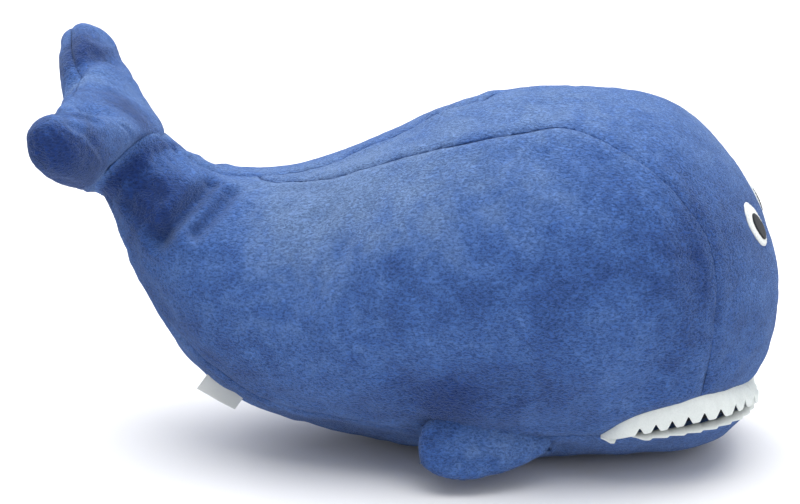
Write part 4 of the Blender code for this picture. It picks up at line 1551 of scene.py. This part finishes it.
class WhaleStageSettings(PropertyGroup):
    """The floor, the lights and the camera."""
    floor_colour: colour_value("Floor", "Colour of the floor", (0.90, 0.90, 0.91))
    floor_shade: colour_value("Floor shade", "Darker tone of the floor", (0.86, 0.86, 0.87))
    sky_colour: colour_value("Sky", "Colour of the light from all round", (0.95, 0.97, 1.0))
    sky_strength: plain_value("Sky strength", "Strength of the light from all round", 0.62)
    top_power: plain_value("Top light", "Power of the light above, in watts", 46.0)
    front_power: plain_value("Front light", "Power of the light at the front, in watts", 5.0)
    rear_power: plain_value("Rear light", "Power of the light behind, in watts", 8.0)
    azimuth: FloatProperty(name="Azimuth", description="Direction of the camera", default=math.radians(3),
                           subtype="ANGLE")
    elevation: FloatProperty(name="Elevation", description="Height of the camera", default=math.radians(18.5),
                             subtype="ANGLE")


SETTINGS = {
    "whale_plush": WhalePlushSettings,
    "whale_seams": WhaleSeamSettings,
    "whale_stuffing": WhaleStuffingSettings,
    "whale_mouth": WhaleMouthSettings,
    "whale_stitches": WhaleStitchSettings,
    "whale_eyes": WhaleEyeSettings,
    "whale_label": WhaleLabelSettings,
    "whale_stage": WhaleStageSettings,
}


def kept_line(name, points):
    """A line of points kept as a mesh, for the operators that follow."""
    mesh = bpy.data.meshes.new(name)
    mesh.from_pydata([tuple(point) for point in points], [], [])
    mesh.use_fake_user = True


def line_of(name):
    mesh = bpy.data.meshes.get(name)
    if mesh is None:
        raise RuntimeError("The body's coat has to be made first")
    return [vert.co.copy() for vert in mesh.vertices]


class WHALE_OT_stage(Operator):
    """Sets the floor, the lights and the camera"""
    bl_idname = "whale.stage"
    bl_label = "Set the stage"

    def execute(self, context):
        stage()
        return {"FINISHED"}


class WHALE_OT_body(Operator):
    """Sews the body's four panels round its stuffed form"""
    bl_idname = "whale.body"
    bl_label = "Sew the body"

    def execute(self, context):
        for name, path in body_coat().items():
            kept_line(name + "_line", path)
        pieces = [bpy.data.objects[name] for name, _ in BODY_PANELS]
        for obj in pieces[:3]:
            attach(obj, "whale_body")
        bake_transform(pieces[3], "whale_body", "jaw", *JAW_BEND)
        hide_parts("right_side_panel", "body_filling")
        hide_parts("left_side_panel")
        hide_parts("back_gusset")
        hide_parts("belly_panel", "jaw_underside_panel", "jaw_filling")
        return {"FINISHED"}


class WHALE_OT_mouth(Operator):
    """Lines the mouth and sews its felt teeth in"""
    bl_idname = "whale.mouth"
    bl_label = "Line the mouth"

    def execute(self, context):
        settings = context.scene.whale_mouth
        lip, jaw = line_of("lip_line"), line_of("jaw_line")
        lining = lining_material(settings)
        felt = felt_material("tooth_felt", settings.felt_colour)
        roof = thick(mouth_sheet(lip, 0.0022, 0.004, settings), LINING_THICKNESS)
        base = thick(mouth_sheet(jaw, 0.0018, -0.001, settings), LINING_THICKNESS)
        palate = finished("palate_cloth", roof, lining)
        floor = finished("mouth_floor_cloth", base, lining)
        upper = finished("upper_teeth_felt", upper_strip(lip, settings), felt)
        lower = finished("lower_teeth_felt", lower_strip(jaw, settings), felt)
        for obj, node, slot in ((palate, "palate_lining", "lining"), (floor, "jaw_floor_lining", "lining"),
                                (upper, "upper_teeth", "felt"), (lower, "lower_teeth", "felt")):
            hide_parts(node)
        for obj in (palate, upper):
            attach(obj, "whale_body")
        for obj in (floor, lower):
            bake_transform(obj, "whale_body", "jaw", *JAW_BEND)
        return {"FINISHED"}


class WHALE_OT_flukes(Operator):
    """Sews the tail's flukes"""
    bl_idname = "whale.flukes"
    bl_label = "Sew the flukes"

    def execute(self, context):
        pieces = flukes()
        for obj in pieces:
            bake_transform(obj, "whale_body", "tail_flukes", TAIL_ROOT - NECK_ALONG * 0.010, TAIL_ROOT + NECK_ALONG * 0.020)
        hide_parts("tail_upper_panel", "tail_filling")
        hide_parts("tail_lower_panel")
        return {"FINISHED"}


class WHALE_OT_fins(Operator):
    """Sews both fins"""
    bl_idname = "whale.fins"
    bl_label = "Sew the fins"

    def execute(self, context):
        along = fin_axes()[0]
        for obj in fins():
            hand, _, side = obj.name.split("_")[:3]
            mirror = Vector((1, 1 if hand == "right" else -1, 1))
            start = (FIN_ROOT + along * 0.002) * mirror
            end = (FIN_ROOT + along * 0.020) * mirror
            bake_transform(obj, "whale_body", hand + "_fin", start, end)
            nodes = [f"{hand}_fin_{side}_panel"] + ([f"{hand}_fin_filling"] if side == "outer" else [])
            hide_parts(*nodes)
        return {"FINISHED"}


class WHALE_OT_label(Operator):
    """Sews the blank care label into the lower seam"""
    bl_idname = "whale.label"
    bl_label = "Sew the care label"

    def execute(self, context):
        care_label()
        return {"FINISHED"}


class WHALE_OT_eyes(Operator):
    """Sews the plain oval eyes on"""
    bl_idname = "whale.eyes"
    bl_label = "Sew the eyes"

    def execute(self, context):
        eyes()
        return {"FINISHED"}


OPERATORS = (WHALE_OT_stage, WHALE_OT_body, WHALE_OT_mouth, WHALE_OT_flukes, WHALE_OT_fins, WHALE_OT_label,
             WHALE_OT_eyes)


class WHALE_PT_panel(Panel):
    """The whale's settings and the steps that make it"""
    bl_idname = "WHALE_PT_panel"
    bl_label = "Plush whale"
    bl_space_type = "VIEW_3D"
    bl_region_type = "UI"
    bl_category = "Plush whale"

    def draw(self, context):
        for operator in OPERATORS:
            self.layout.operator(operator.bl_idname)
        for group, kind in SETTINGS.items():
            box = self.layout.box()
            box.label(text=kind.__doc__)
            for name in kind.__annotations__:
                box.prop(getattr(context.scene, group), name)


def register():
    for kind in (*SETTINGS.values(), *OPERATORS, WHALE_PT_panel):
        bpy.utils.register_class(kind)
    for group, kind in SETTINGS.items():
        setattr(bpy.types.Scene, group, PointerProperty(type=kind))


def unregister():
    for group in SETTINGS:
        delattr(bpy.types.Scene, group)
    for kind in (WHALE_PT_panel, *reversed(OPERATORS), *SETTINGS.values()):
        bpy.utils.unregister_class(kind)


def main():
    register()
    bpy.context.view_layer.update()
    bpy.ops.whale.stage()
    bpy.ops.whale.body()
    bpy.ops.whale.mouth()
    bpy.ops.whale.flukes()
    bpy.ops.whale.fins()
    bpy.ops.whale.label()
    bpy.ops.whale.eyes()


if __name__ == "__main__":
    main()
